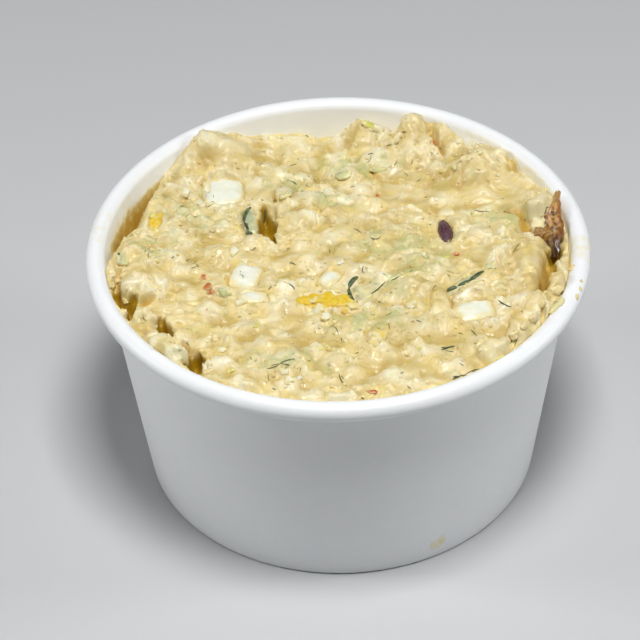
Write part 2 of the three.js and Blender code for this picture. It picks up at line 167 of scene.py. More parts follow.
def wall_outline():
    """The wall's section: down inside the hem, round the foot, up the cone, round the curl."""
    def middle(height):
        return FOOT_RADIUS - BOARD / 2 + WALL_LEAN * height

    inset = 2 * BOARD + 2 * HEM_GAP
    fold = inset / 2
    hem_top = [middle(HEM) - inset, HEM]
    hem = arc([middle(fold) - fold, fold + BOARD / 2], fold, math.pi, math.pi, 9)
    lean = math.pi - math.atan(WALL_LEAN)
    rolled = arc([RIM_RADIUS - ROLL, ROLL_HEIGHT], ROLL - BOARD / 2, lean, -ROLL_SWEEP, 40)
    rise = np.linspace(hem[-1], rolled[0], 26)[1:-1]
    return thick_line(np.vstack([hem_top, hem, rise, rolled]), BOARD)


def base_outline():
    """The base's section, from its middle: out, down its skirt and back underneath."""
    foot, low = BOARD + HEM_GAP, BASE_TOP - BASE_THICK
    bottom, top = inner_wall(foot) - HEM_GAP, inner_wall(low) - HEM_GAP
    centre = [top - BASE_CORNER, BASE_TOP - BASE_CORNER]
    outside = arc(centre, BASE_CORNER, math.pi / 2, -math.pi / 2, 7)
    inside = arc(centre, BASE_CORNER - BASE_THICK, 0, math.pi / 2, 5)
    return np.vstack([[0.0, BASE_TOP], outside, [bottom, foot], [bottom - BASE_THICK, foot],
                      inside, [0.0, low]])


print(len(wall_outline()), "points in the wall's outline,", len(base_outline()), "in the base's")

# %% [markdown]
# The lathe is a Geometry Nodes tree with its sizes as named inputs. Here and later, one small
# function adds every node, with its settings made and its inputs set or linked. Curve to Mesh
# puts an outline's X outwards and its Y downwards, so the outline is handed over upside down.

# %% Add a node, begin a tree, run a tree
def fill(tree, node, inputs):
    """Sets or links some of a node's inputs."""
    for socket, value in inputs.items():
        if isinstance(value, bpy.types.NodeSocket):
            tree.links.new(value, node.inputs[socket])
        else:
            node.inputs[socket].default_value = value


def add_node(tree, kind, inputs=None, **settings):
    """A new node, with its settings made and its inputs set or linked."""
    node = tree.nodes.new(kind)
    for name, value in settings.items():
        setattr(node, name, value)
    fill(tree, node, inputs or {})
    return node


def geometry_tree(name, inputs):
    """An empty tree with a geometry in and out and some named inputs; returns both ends."""
    tree = bpy.data.node_groups.new(name, "GeometryNodeTree")
    tree.interface.new_socket("Geometry", in_out="INPUT", socket_type="NodeSocketGeometry")
    for label, kind in inputs.items():
        tree.interface.new_socket(label, in_out="INPUT", socket_type="NodeSocket" + kind)
    tree.interface.new_socket("Geometry", in_out="OUTPUT", socket_type="NodeSocketGeometry")
    return tree, add_node(tree, "NodeGroupInput"), add_node(tree, "NodeGroupOutput")


def run_tree(source, tree, values):
    """The plain mesh that a tree makes of an object, which is used up."""
    modifier = source.modifiers.new(tree.name, "NODES")
    modifier.node_group = tree
    for item in tree.interface.items_tree:
        if item.in_out == "INPUT" and item.name in values:
            modifier[item.identifier] = values[item.name]
    graph = bpy.context.evaluated_depsgraph_get()
    mesh = bpy.data.meshes.new_from_object(source.evaluated_get(graph))
    bpy.data.objects.remove(source)
    return mesh


print("Blender", bpy.app.version_string)

# %% A lathe in Geometry Nodes
lathe, ends, result = geometry_tree("lathe", {"Sides": "Int", "Axle": "Float",
                                              "Material": "Material"})
circle = add_node(lathe, "GeometryNodeCurvePrimitiveCircle",
                  {"Resolution": ends.outputs["Sides"], "Radius": ends.outputs["Axle"]})
outline_curve = add_node(lathe, "GeometryNodeMeshToCurve", {"Mesh": ends.outputs["Geometry"]})
swept = add_node(lathe, "GeometryNodeCurveToMesh",
                 {"Curve": circle.outputs["Curve"], "Profile Curve": outline_curve.outputs[0]})
coated = add_node(lathe, "GeometryNodeSetMaterial",
                  {"Geometry": swept.outputs[0], "Material": ends.outputs["Material"]})
realized = add_node(lathe, "GeometryNodeRealizeInstances", {"Geometry": coated.outputs[0]})
lathe.links.new(realized.outputs[0], result.inputs["Geometry"])
print("the lathe has", len(lathe.nodes), "nodes")

# %% From a made mesh to a piece
WELD = 1e-6                       # metres: points closer than this become one


def as_piece(name, mesh):
    """A finished mesh as an object, shaded smooth and riding on the one body."""
    mesh.name = name
    mesh.shade_smooth()
    piece = bpy.data.objects.new(name, mesh)
    bpy.context.scene.collection.objects.link(piece)
    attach(piece, "root")
    return piece


def add_made(name, mesh):
    """A piece from a mesh that a node tree made, with its seams closed and faces turned out."""
    shape = bmesh.new()
    shape.from_mesh(mesh)
    bmesh.ops.remove_doubles(shape, verts=shape.verts, dist=WELD)
    bmesh.ops.recalc_face_normals(shape, faces=shape.faces)
    shape.to_mesh(mesh)
    shape.free()
    return as_piece(name, mesh)


def turned_shape(name, outline, closed, material):
    """A solid of revolution round Z, from (radius, height) points in millimetres."""
    points = [((r - AXLE) * MM, -z * MM, 0) for r, z in outline]
    edges = [(k, k + 1) for k in range(len(points) - 1)]
    if closed:
        edges.append((len(points) - 1, 0))
    line = bpy.data.meshes.new(name)
    line.from_pydata(points, edges, [])
    source = bpy.data.objects.new(name + "_outline", line)
    bpy.context.scene.collection.objects.link(source)
    mesh = run_tree(source, lathe, {"Sides": SIDES, "Axle": AXLE * MM, "Material": material})
    return add_made(name, mesh)


# %% [markdown]
# ### Coated paper board
#
# The board is bleached pulp under a thin polyethylene film. It is bright and faintly cool,
# with a satin gloss and no grain that shows, only a cloudiness of a few millimetres from the
# pulp. Dressing has been spread on the rim and inside the wall, thin and pale. In the gap at the
# left, where the salad has shrunk from the wall, a thick golden colour is laid on the board: it
# is painted shade, and painted golden light bounced off the salad. The wall carries where each
# lies as an attribute, and noise frays its edge. A picture could be wrapped round the cup
# instead, but a rule stays sharp from any distance and needs no unwrapping.
#
# Blender's colours are linear, while a colour given here is sRGB, so one function turns one
# into the other. Every material begins alike, with a shader and a reading of where a point is.
# Then one colour after another is laid over what is there.

# %% Tools for materials
MIX_FACTOR, MIX_A, MIX_B, MIX_RESULT = 0, 6, 7, 2     # the colour sockets of a Mix node


def linear(hex_colour):
    """The linear red, green, blue and alpha of an sRGB colour such as #ead59b."""
    channels = [int(hex_colour[k:k + 2], 16) / 255 for k in (1, 3, 5)]
    bright = [c / 12.92 if c <= 0.04045 else ((c + 0.055) / 1.055) ** 2.4 for c in channels]
    return (*bright, 1.0)


def new_material(name):
    """A material with its node tree, its shader and the place of each point in metres."""
    material = bpy.data.materials.new(name)
    material.use_nodes = True
    tree = material.node_tree
    place = add_node(tree, "ShaderNodeTexCoord").outputs["Object"]
    return material, tree, tree.nodes["Principled BSDF"], place


def laid_over(tree, tone, colour, value, low, high, most=1.0):
    """A tone with a colour over it, more of it as a value goes from low to high."""
    share = add_node(tree, "ShaderNodeMapRange", {
        "Value": value, "From Min": low, "From Max": high, "To Max": most})
    mixed = add_node(tree, "ShaderNodeMix", {
        MIX_FACTOR: share.outputs[0], MIX_A: tone, MIX_B: linear(colour)}, data_type="RGBA")
    return mixed.outputs[MIX_RESULT]


print("the sRGB grey #808080 is", round(linear("#808080")[0], 3), "in linear light")

# %% Paper board
MOTTLE = 2.5                      # mm across a cloud in the pulp
FIBRE = 0.35                      # mm, drawn coarser than real fibres so that it shows
FRAY = 1.6                        # mm across the tongues at a stain's edge

paper, tree, shader, place = new_material("polyethylene coated paper board")
cloud = add_node(tree, "ShaderNodeTexNoise", {"Vector": place, "Scale": 1 / (MOTTLE * MM)})
fibre = add_node(tree, "ShaderNodeTexNoise", {"Vector": place, "Scale": 1 / (FIBRE * MM)})
pulp = add_node(tree, "ShaderNodeMix", {
    MIX_FACTOR: cloud.outputs["Fac"], MIX_A: linear("#f2f5f7"), MIX_B: linear("#f6f8f9"),
}, data_type="RGBA")
smear_and_shade = add_node(tree, "ShaderNodeAttribute", attribute_name="film")
fray = add_node(tree, "ShaderNodeTexNoise",
                {"Vector": place, "Scale": 1 / (FRAY * MM), "Detail": 4.0})
wiped_and_shaded = add_node(tree, "ShaderNodeMath", {0: smear_and_shade.outputs["Fac"], 1: fray.outputs["Fac"]},
                 operation="ADD")
# the pale colour is dressing; the gold where the amount is high is painted shade and golden light
# bounced off the salad, in the gap at the left
thin = laid_over(tree, pulp.outputs[MIX_RESULT], "#efe3ae", wiped_and_shaded.outputs[0], 0.9, 1.5)
pooled_and_gap_shade = laid_over(tree, thin, "#c9a440", wiped_and_shaded.outputs[0], 1.3, 2.0)
bump = add_node(tree, "ShaderNodeBump",
                {"Height": fibre.outputs["Fac"], "Strength": 0.25, "Distance": 0.02 * MM})
fill(tree, shader, {
    "Base Color": pooled_and_gap_shade, "Normal": bump.outputs[0], "Roughness": 0.42, "Subsurface Weight": 0.08,
    "Subsurface Radius": (1.0, 0.95, 0.9), "Subsurface Scale": 0.6 * MM})
print(paper.name, "has", len(tree.nodes), "nodes")

# %% Where dressing lies on the wall, and the painted shade in the gap at the left
# bearing and reach to each side in degrees, lowest and highest mm, side (-1 in, 1 out), amount
# the row at bearing 157 with amount 1.5 is no dressing: it paints the shade and the golden light
# bounced off the salad in the gap at the left
SMEARS_AND_GAP_SHADE = [
    (170, 7, 54, 58.5, -1, 0.55), (160, 5, 56, 59.5, -1, 0.5), (172, 8, 58, 62, 1, 0.45),
    (157, 17, 42, 55, -1, 1.5), (150, 6, 59.5, 62, -1, 0.55), (12, 24, 50, 61.5, -1, 0.62),
    (42, 14, 55, 61.2, -1, 0.5), (-12, 10, 52, 61.2, -1, 0.5), (-4, 5, 59, 62, 1, 0.55),
    (-97, 4, 59.5, 62, -1, 0.6), (-62.5, 2.6, 3.2, 6.6, 1, 0.75), (-61, 1.0, 6.6, 13.0, 1, 0.42),
    (-32, 1.0, 45, 50, 1, 0.5),
]
WHOLE, GONE = 0.8, 1.3            # shares of a smear's reach where it starts to thin and ends


def smeared_and_shaded(mesh):
    """How much dressing lies on each point of the wall, and in the gap at the left how much painted
    shade and bounced golden light.
    """
    spots = np.array([v.co for v in mesh.vertices]) / MM
    bearing = np.degrees(np.arctan2(spots[:, 1], spots[:, 0]))
    side = np.hypot(spots[:, 0], spots[:, 1]) - (inner_wall(spots[:, 2]) + BOARD / 2)
    amount = np.zeros(len(spots))
    for middle, reach, low, high, way, most in SMEARS_AND_GAP_SHADE:
        beside = np.abs((bearing - middle + 180) % 360 - 180) / reach
        level = np.abs(spots[:, 2] - (low + high) / 2) / ((high - low) / 2)
        share = np.clip((GONE - np.maximum(beside, level)) / (GONE - WHOLE), 0, 1)
        amount = np.maximum(amount, most * share * (side * way > 0))
    return amount


print(len(SMEARS_AND_GAP_SHADE), "smears")

# %% Turn the wall and the base
wall = turned_shape("paper_wall", wall_outline(), True, paper)
smear_and_shade_layer = wall.data.attributes.new("film", "FLOAT", "POINT")
smear_and_shade_layer.data.foreach_set("value", smeared_and_shaded(wall.data).astype(np.float32))
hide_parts("cup_wall")
base = turned_shape("paper_base", base_outline(), False, paper)
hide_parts("cup_base")
print("wall faces:", len(wall.data.polygons), "base faces:", len(base.data.polygons))

# %% [markdown]
# ## The salad as a height map
#
# Seen from above, the salad is a landscape: swells where the spoon pushed it, dressed lumps
# of potato, crumbs between them, and a few deep pits. Sculpting it by hand would be slow and
# hard to repeat. Here it is a square map with a height every fifth of a millimetre. The map
# starts as the CAD model's own top, found by looking straight down on it, so that all its
# forms stay where they are.

# %% The map and its tools
PITCH = 0.2                       # mm from one map point to the next
HALF = 56.0                       # mm from the middle of the map to its edge
AXIS = np.arange(-HALF, HALF + PITCH / 2, PITCH)
COUNT = len(AXIS)
MAP_X, MAP_Y = np.meshgrid(AXIS, AXIS)
WAVE_X, WAVE_Y = np.meshgrid(np.fft.fftfreq(COUNT, PITCH), np.fft.fftfreq(COUNT, PITCH))


def soften(field, size_x, size_y=None):
    """Blurs a map with a bell of the given size in millimetres."""
    size_y = size_x if size_y is None else size_y
    gain = np.exp(-2 * np.pi ** 2 * ((size_x * WAVE_X) ** 2 + (size_y * WAVE_Y) ** 2))
    return np.fft.ifft2(np.fft.fft2(field) * gain).real


def unevenness(size, stretch=1.0):
    """Random waves about `size` mm long with a spread of 1, drawn out along X by `stretch`."""
    white = chance.standard_normal((COUNT, COUNT))
    fine = soften(white, stretch * size / 5, size / 5)
    waves = fine - soften(white, stretch * size / 2, size / 2)
    return waves / waves.std()


def sample(field, x, y):
    """Reads a map between its points."""
    column = np.clip((np.asarray(x) + HALF) / PITCH, 0, COUNT - 1.001)
    row = np.clip((np.asarray(y) + HALF) / PITCH, 0, COUNT - 1.001)
    i, j = column.astype(int), row.astype(int)
    u, v = column - i, row - j
    near = field[j, i] * (1 - u) + field[j, i + 1] * u
    far = field[j + 1, i] * (1 - u) + field[j + 1, i + 1] * u
    return near * (1 - v) + far * v


def smooth_step(value, low, high):
    """Goes from 0 at `low` to 1 at `high` with no corner."""
    t = np.clip((value - low) / (high - low), 0, 1)
    return t * t * (3 - 2 * t)


def oval(x, y, length, width, direction=0.0):
    """How far each map point is from an oval's middle, 1 at its edge."""
    turn = math.radians(direction)
    along = ((MAP_X - x) * math.cos(turn) + (MAP_Y - y) * math.sin(turn)) / (length / 2)
    across = ((MAP_Y - y) * math.cos(turn) - (MAP_X - x) * math.sin(turn)) / (width / 2)
    return np.hypot(along, across)


print(f"map of {COUNT} by {COUNT} heights")

# %% Look down on the CAD salad
LOOK_FROM = 80.0                  # mm, above all that there is
COARSE = 3                        # every third map point is looked at, the rest is between


def tree_of(*things):
    """A search tree over some objects, in millimetres, that rays can be cast on."""
    points, faces = [], []
    for thing in things:
        first = len(points)
        points += [v.co / MM for v in thing.data.vertices]
        faces += [[first + k for k in face.vertices] for face in thing.data.polygons]
    return BVHTree.FromPolygons(points, faces)


def look_down(shape, axis_x, axis_y):
    """The height of a shape at each map point, and nan beside it."""
    down = Vector((0, 0, -1))
    found = np.full((len(axis_y), len(axis_x)), np.nan)
    for j, y in enumerate(axis_y):
        for i, x in enumerate(axis_x):
            hit = shape.ray_cast(Vector((x, y, LOOK_FROM)), down)[0]
            if hit is not None:
                found[j, i] = hit.z
    return found


SUNK = [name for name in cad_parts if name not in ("cup_wall", "cup_base", "fried_crisp")]
coarse_axis = AXIS[::COARSE]
looked = look_down(tree_of(*(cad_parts[name] for name in SUNK)), coarse_axis, coarse_axis)
print("CAD top from", round(float(np.nanmin(looked)), 1), "to", round(float(np.nanmax(looked)), 1))

# %% Fill the map between the looked-at points
def drawn_out(field):
    """A coarse map at full size, each block centred on the point that it came from."""
    blocks = np.kron(field, np.ones((COARSE, COARSE)))[:COUNT, :COUNT]
    shift = (COARSE - 1) / 2 * PITCH
    recentre = np.exp(2j * np.pi * shift * (WAVE_X + WAVE_Y))
    return np.fft.ifft2(np.fft.fft2(blocks) * recentre).real


known = np.isfinite(looked)
heights = drawn_out(np.where(known, looked, 0))
weight = drawn_out(known.astype(float))


def filled(size):
    """The looked-at heights blurred by `size` mm, with nothing drawn in from beside them."""
    return soften(heights, size) / np.maximum(soften(weight, size), 1e-4)


far_forms = filled(4.5)
on_solid = smooth_step(soften(weight, 0.6), 0.35, 0.6)
bed = filled(0.5) * on_solid + far_forms * (1 - on_solid)
print(f"{100 * on_solid.mean():.0f}% of the map lies over the CAD salad")

# %% [markdown]
# ## Egg, cucumber and bean
#
# The pieces are made before the salad round them, because dressing has to know where they are
# to lap over their edges. Each keeps the place, direction and size of its CAD solid, which is
# measured by turning a rectangle round it until it fits closest. A ball of rings would crowd
# its faces at two poles, so the fine shape starts as a cube grid: pulled part of the way to a
# ball it is a cut block, and pulled all the way it is a bean.

# %% The closest box round a solid
def closest_box(name):
    """The middle, full size and direction in degrees of the tightest upright box."""
    points = np.array([v.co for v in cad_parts[name].data.vertices]) / MM
    best = None
    for degrees in range(0, 180, 2):
        turn = math.radians(degrees)
        along = points[:, 0] * math.cos(turn) + points[:, 1] * math.sin(turn)
        across = points[:, 1] * math.cos(turn) - points[:, 0] * math.sin(turn)
        length, width = np.ptp(along), np.ptp(across)
        if length >= width and (best is None or length * width < best[0]):
            u, v = (along.max() + along.min()) / 2, (across.max() + across.min()) / 2
            middle = (u * math.cos(turn) - v * math.sin(turn),
                      u * math.sin(turn) + v * math.cos(turn),
                      (points[:, 2].max() + points[:, 2].min()) / 2)
            best = (length * width, np.array(middle), (length, width, np.ptp(points[:, 2])), turn)
    return best[1:]


print("the largest egg piece measures", np.round(closest_box("egg_white_1")[1], 1), "mm")

# %% A rounded block
def cube_grid(cells):
    """Points all over a cube from -1 to 1, with its faces turned outwards."""
    line = np.linspace(-1, 1, cells + 1)
    keys, points, faces = {}, [], []
    for axis in range(3):
        for side in (-1, 1):
            numbers = np.empty((cells + 1, cells + 1), int)
            for j, v in enumerate(line):
                for i, u in enumerate(line):
                    point = np.roll([side, u, v], axis)
                    key = tuple(np.round(point * cells).astype(int))
                    if key not in keys:
                        keys[key] = len(points)
                        points.append(point)
                    numbers[j, i] = keys[key]
            for j in range(cells):
                for i in range(cells):
                    face = [numbers[j, i], numbers[j, i + 1], numbers[j + 1, i + 1], numbers[j + 1, i]]
                    faces.append(tuple(int(k) for k in (face if side > 0 else face[::-1])))
    return np.array(points, float), faces


def rounded(cube, power):
    """A cube pulled to a ball, as far as the power says: 2 is a ball, 6 a rounded block."""
    return cube / (np.abs(cube) ** power).sum(1, keepdims=True) ** (1 / power)


def waves(points, size, count=24):
    """Random waves about `size` mm long through space, read at each point, spread 1."""
    heading = chance.normal(size=(count, 3))
    heading /= np.linalg.norm(heading, axis=1, keepdims=True)
    heading /= size * chance.uniform(0.7, 1.5, (count, 1))
    phase = chance.uniform(0, 2 * math.pi, count)
    return math.sqrt(2 / count) * np.sin(2 * math.pi * points @ heading.T + phase).sum(1)


def turned(points, direction):
    """Points turned round Z by a direction in radians."""
    turn = np.array([[math.cos(direction), -math.sin(direction), 0],
                     [math.sin(direction), math.cos(direction), 0], [0, 0, 1]])
    return points @ turn.T


BLOCK, BLOCK_FACES = cube_grid(22)
print("a block has", len(BLOCK_FACES), "faces")

# %% [markdown]
# ### Boiled egg white, yolk, cucumber and bean skin
#
# Egg white is a firm gel: light goes in, scatters and comes out cool and milky, and its cut
# faces are smooth and wet. Boiled yolk is the opposite, a dry crumb of tiny grains that is
# almost matt. Cucumber flesh is watery and pale, so it takes its grey green from below, with a
# thin dark skin. The bean's skin is glossy, purple and grey in clouds. On all of them a thin
# film of dressing lies in patches, mostly along the edges. Each could have its own nodes, but
# only numbers and colours differ, so one function makes them all.

# %% A finish for moist food
DRESSING, DARK_PEEL, UNDER_PEEL = "#ecdfac", "#1c2c1c", "#8c9f8b"
PATCH = 1.8                       # mm across a patch of dressing
CUT_GRAIN = 0.5                   # mm, the fine roughness of a cut face


def wet_food(name, colour, other, cloud_size, roughness, scatter, radius, film_at):
    """A moist food: two clouded colours, light scattered under the skin, patches of dressing."""
    material, tree, shader, place = new_material(name)
    cloud, patch, grain = (
        add_node(tree, "ShaderNodeTexNoise",
                 {"Vector": place, "Scale": 1 / (size * MM), "Detail": detail})
        for size, detail in ((cloud_size, 5.0), (PATCH, 3.0), (CUT_GRAIN, 3.0)))
    skin = add_node(tree, "ShaderNodeAttribute", attribute_name="skin").outputs["Fac"]
    film = add_node(tree, "ShaderNodeAttribute", attribute_name="film").outputs["Fac"]
    lapped = add_node(tree, "ShaderNodeMath", {0: patch.outputs["Fac"], 1: film},
                      operation="ADD").outputs[0]
    tone = laid_over(tree, linear(colour), other, cloud.outputs["Fac"], 0.38, 0.62)
    tone = laid_over(tree, tone, UNDER_PEEL, skin, 0.0, 0.4)
    tone = laid_over(tree, tone, DARK_PEEL, skin, 0.45, 0.85)
    tone = laid_over(tree, tone, DRESSING, lapped, film_at - 0.15, film_at + 0.35)
    bump = add_node(tree, "ShaderNodeBump", {
        "Height": grain.outputs["Fac"], "Strength": 0.5, "Distance": 0.08 * MM})
    fill(tree, shader, {
        "Base Color": tone, "Normal": bump.outputs[0], "Roughness": roughness,
        "Subsurface Weight": scatter, "Subsurface Radius": radius, "Subsurface Scale": 1.2 * MM})
    return material


print("the dressing's linear colour:", [round(c, 2) for c in linear(DRESSING)[:3]])

# %% Egg, cucumber and bean finishes
egg_white = wet_food("boiled egg white", "#f3f3e4", "#eaeedd", 2.5, 0.3, 0.5, (1.0, 0.95, 0.85),
                     0.8)
egg_yolk = wet_food("boiled egg yolk", "#dfba18", "#e6ca48", 1.0, 0.6, 0.2, (1.0, 0.7, 0.2),
                    0.85)
cucumber = wet_food("pickled cucumber", "#a7b592", "#c4c9a2", 1.6, 0.3, 0.5, (0.8, 1.0, 0.6),
                    0.75)
bean_skin = wet_food("mottled bean skin", "#6b5058", "#4a2a30", 0.9, 0.35, 0.1, (1.0, 0.4, 0.4),
                     0.95)
print([material.name for material in (egg_white, egg_yolk, cucumber, bean_skin)])

# %% The wobble of each food, and where its skin is
YOLK_SIZES = (2.6, 1.0)           # mm, of its broken lumps and of its grains


def pinched(depth):
    """Cut faces of egg white dry and sink in a little."""
    def shape(unit, local):
        waist = 1 - depth * np.exp(-(unit[:, [1]] / 0.5) ** 2)
        dried = local * np.hstack([waist, np.ones_like(waist), np.ones_like(waist)])
        return dried * (1 + 0.02 * waves(local, 3.0)[:, None])
    return shape


def crumbly(unit, local):
    """Yolk breaks into grains, so its outline is rough at two sizes."""
    broken, grains = (waves(local, size) for size in YOLK_SIZES)
    return local * (1 + 0.10 * broken + 0.06 * np.abs(grains))[:, None]


def uneven(unit, local):
    """Cucumber is cut by a knife, so its faces are nearly flat."""
    return local * (1 + 0.03 * waves(local, 3.0) + 0.015 * waves(local, 1.2))[:, None]


def pointed(unit, local):
    """A bean is round in the middle and comes to blunt points."""
    slim = np.sqrt(np.clip(1 - np.abs(unit[:, [0]]) ** 1.6, 0, 1)) / np.sqrt(
        np.clip(1 - unit[:, [0]] ** 2, 1e-6, 1))
    slim = np.minimum(slim, 1)
    tapered = local * np.hstack([np.ones_like(slim), slim, slim])
    return tapered * (1 + 0.015 * waves(local, 1.5)[:, None])


def skin_on_left(unit, local):
    """Skin along one long side."""
    return smooth_step(unit[:, 1] + 0.15 * waves(local, 1.5), 0.35, 0.6)


def skin_on_sides(unit, local):
    """Skin along both long sides."""
    return smooth_step(np.abs(unit[:, 1]) + 0.2 * waves(local, 1.6), 0.35, 0.75)


print("yolk is rough at", YOLK_SIZES, "mm")

# %% Make the pieces
def add_piece(name, points, faces, material, attributes):
    """A piece from points in millimetres and faces, with a value for each point's attributes."""
    mesh = bpy.data.meshes.new(name)
    mesh.from_pydata((np.asarray(points, float) * MM).tolist(), [], faces)
    for key, values in attributes.items():
        layer = mesh.attributes.new(key, "FLOAT", "POINT")
        layer.data.foreach_set("value", np.asarray(values, np.float32))
    mesh.materials.append(material)
    return as_piece(name, mesh)


def add_block(name, node, material, power, shape, skin=None):
    """A fine rounded block where a CAD node is, given its own wobble and its own skin side."""
    middle, size, direction = closest_box(node)
    unit = rounded(BLOCK, power)
    local = shape(unit, unit * np.array(size) / 2)
    spots = turned(local, direction) + middle
    skin_at = skin(unit, local) if skin else np.zeros(len(spots))
    height = (spots[:, 2] - spots[:, 2].min()) / np.ptp(spots[:, 2])
    beside = np.abs(unit[:, :2]).max(1)
    film = 0.25 * smooth_step(beside, 0.7, 1.0) + 0.2 * (1 - smooth_step(height, 0.45, 0.8))
    piece = add_piece(name, spots, BLOCK_FACES, material, {"skin": skin_at, "film": film})
    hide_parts(node)
    return piece


sunk = {}
for number, pinch in enumerate((0.03, 0.12, 0.06, 0.04, 0.05), 1):
    node = f"egg_white_{number}"
    sunk[node] = add_block(f"cut_{node}", node, egg_white, 3.4, pinched(pinch))
for node in ("egg_yolk_1", "egg_yolk_2"):
    sunk[node] = add_block(f"crumbled_{node}", node, egg_yolk, 2.6, crumbly)
for name, node, power, skin in (("pickle_1", "cucumber_1", 3.5, skin_on_left),
                                ("pickle_3", "cucumber_3", 3.0, skin_on_sides)):
    sunk[node] = add_block(name, node, cucumber, power, uneven, skin)
sunk["dark_bean"] = add_block("bean", "dark_bean", bean_skin, 2.0, pointed)
print(len(sunk), "pieces, each with", len(BLOCK), "points")

# %% [markdown]
# ### A quarter of a cucumber slice
#
# This piece was sliced across and then quartered, so it is a wedge with skin along its arc
# only. Its point, radius and tilt are measured on the CAD solid. A Boolean could cut it from a
# cylinder, but would leave no even grid for its soft edges. So the same cube grid is bent into
# a sector: one direction runs from the point to the skin, one along the skin.

# %% The slice
def sector_of(name):
    """A flat sector's point, its three directions, its radius, half its sweep and thickness."""
    corners = np.array([v.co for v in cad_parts[name].data.vertices]) / MM
    normal = np.linalg.svd(corners - corners.mean(0))[2][2]
    normal *= np.sign(normal[2])
    point = corners[corners[:, 0] > corners[:, 0].max() - 0.3].mean(0)
    outward = corners.mean(0) - point
    outward -= outward @ normal * normal
    outward /= np.linalg.norm(outward)
    sideways = np.cross(normal, outward)
    out, side = (corners - point) @ outward, (corners - point) @ sideways
    radius = np.hypot(out, side).max()
    sweep = np.arctan2(np.abs(side), out)[np.hypot(out, side) > radius / 2].max()
    return point, (outward, sideways, normal), radius, sweep, np.ptp((corners - point) @ normal)


point, (outward, sideways, normal), radius, half_sweep, thickness = sector_of("cucumber_2")
unit = rounded(BLOCK, 7.0)
grown = BLOCK * 5                 # a block about as large as the slice, in mm, for its waves
out = radius * (unit[:, 0] + 1) / 2 * (1 + 0.02 * waves(grown, 3.0))
turn = half_sweep * unit[:, 1]
lift = thickness / 2 * unit[:, 2] + 0.12 * waves(grown, 4.0)
spots = (point + np.outer(out * np.cos(turn), outward) + np.outer(out * np.sin(turn), sideways)
         + np.outer(lift, normal))
peel = smooth_step(out / radius + 0.03 * waves(spots, 1.4), 0.68, 1.0)
covered = (0.35 * smooth_step(np.abs(unit[:, 1]), 0.5, 1.0)
           + 0.5 * smooth_step(-unit[:, 0], -0.1, 0.7))
slice_2 = add_piece("pickle_2", spots, BLOCK_FACES, cucumber, {"skin": peel, "film": covered})
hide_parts("cucumber_2")
sunk["cucumber_2"] = slice_2
print(f"slice: radius {radius:.1f} mm, {2 * math.degrees(half_sweep):.0f} degrees")

# %% [markdown]
# ### The fried crisp
#
# One brown fried flake leans on the wall. Frying drives the water out, so it is a thin sheet
# that crumpled and curled before it set. It is built as a closed sheet along a bent middle
# line: a rule places each point, once for the upper face and once for the lower. A cloth
# simulation would crumple it too, but wouldn't follow the outline that the photograph shows.

# %% A thin closed sheet
def thick_sheet(rows, columns, place):
    """A closed sheet. place(s, t, side) gives its points: side is 1 above and -1 below."""
    s, t = np.meshgrid(np.linspace(0, 1, rows + 1), np.linspace(-1, 1, columns + 1), indexing="ij")
    s, t = s.ravel(), t.ravel()
    points = np.vstack([place(s, t, 1), place(s, t, -1)])
    upper = np.arange(len(s)).reshape(rows + 1, columns + 1)
    lower = upper + len(s)
    faces = []
    for j in range(rows):
        for i in range(columns):
            faces.append((upper[j, i], upper[j + 1, i], upper[j + 1, i + 1], upper[j, i + 1]))
            faces.append((lower[j, i], lower[j, i + 1], lower[j + 1, i + 1], lower[j + 1, i]))
    rim = [*upper[0, :-1], *upper[:-1, -1], *upper[-1, :0:-1], *upper[:0:-1, 0]]
    for a, b in zip(rim, rim[1:] + rim[:1]):
        faces.append((a, b, b + len(s), a + len(s)))
    corner = points[np.array([face[:3] for face in faces])]
    volume = np.einsum("ij,ij->i", corner[:, 0], np.cross(corner[:, 1], corner[:, 2])).sum()
    if volume < 0:
        faces = [face[::-1] for face in faces]
    return points, [tuple(int(k) for k in face) for face in faces], np.tile(s, 2), np.tile(t, 2)


flat_faces = thick_sheet(2, 2, lambda s, t, side: np.stack([s, t, side * np.ones_like(s)], 1))[1]
print("a flat sheet of 2 by 2 cells has", len(flat_faces), "faces")

# %% The crisp's shape
CRISP_SPINE = [(49.2, 0.0, 54.6), (49.9, 3.5, 58.0), (49.9, 7.8, 59.6), (50.8, 11.3, 61.3),
               (51.4, 15.0, 62.2)]
CRISP_WIDTHS = (3.2, 4.9, 4.6, 2.6, 0.9)
CURL_SPINE = [(49.2, 4.4, 57.6), (47.8, 5.0, 58.1), (46.4, 5.2, 58.0), (45.3, 4.4, 57.4)]
CURL_WIDTHS = (3.2, 3.6, 3.0, 1.4)
CRISP_THICK = 0.9
CRISP_FACE = np.array([-0.6, -0.3, 0.75])     # the way its broad side looks
CURL_FACE = np.array([0.1, -0.5, 0.86])
CURL_TONE = -1.0                  # told to the finish: the curled flap is paler than the rest


def flake_at(spine, widths, face, hollow, crumple):
    """The rule for a crumpled flake along a spine, hollow across and creased."""
    knots = np.linspace(0, 1, len(spine))
    middle = np.polyfit(knots, np.array(spine), 3)

    def place(s, t, side):
        power = np.stack([s ** 3, s ** 2, s, np.ones_like(s)], 1)
        along = np.stack([3 * s ** 2, 2 * s, np.ones_like(s)], 1) @ middle[:3]
        along /= np.linalg.norm(along, axis=1, keepdims=True)
        across = np.cross(along, face)
        across /= np.linalg.norm(across, axis=1, keepdims=True)
        through = np.cross(across, along)
        ragged = 1 + 0.17 * np.sin(17 * s + 2 * t) + 0.09 * np.sin(41 * s - 3 * t)
        flat = power @ middle + across * (np.interp(s, knots, widths) / 2 * t * ragged)[:, None]
        crease = crumple * (np.sin(7.5 * s + 3.2 * t) + 0.5 * np.sin(15 * s - 5 * t + 1)
                            + 0.35 * np.sin(31 * s + 9 * t))
        thin = np.clip(1 - np.abs(t) ** 3, 0.15, 1)
        lift = hollow * (t ** 2 - 0.4) + crease + side * CRISP_THICK / 2 * thin
        return flat + through * lift[:, None]
    return place


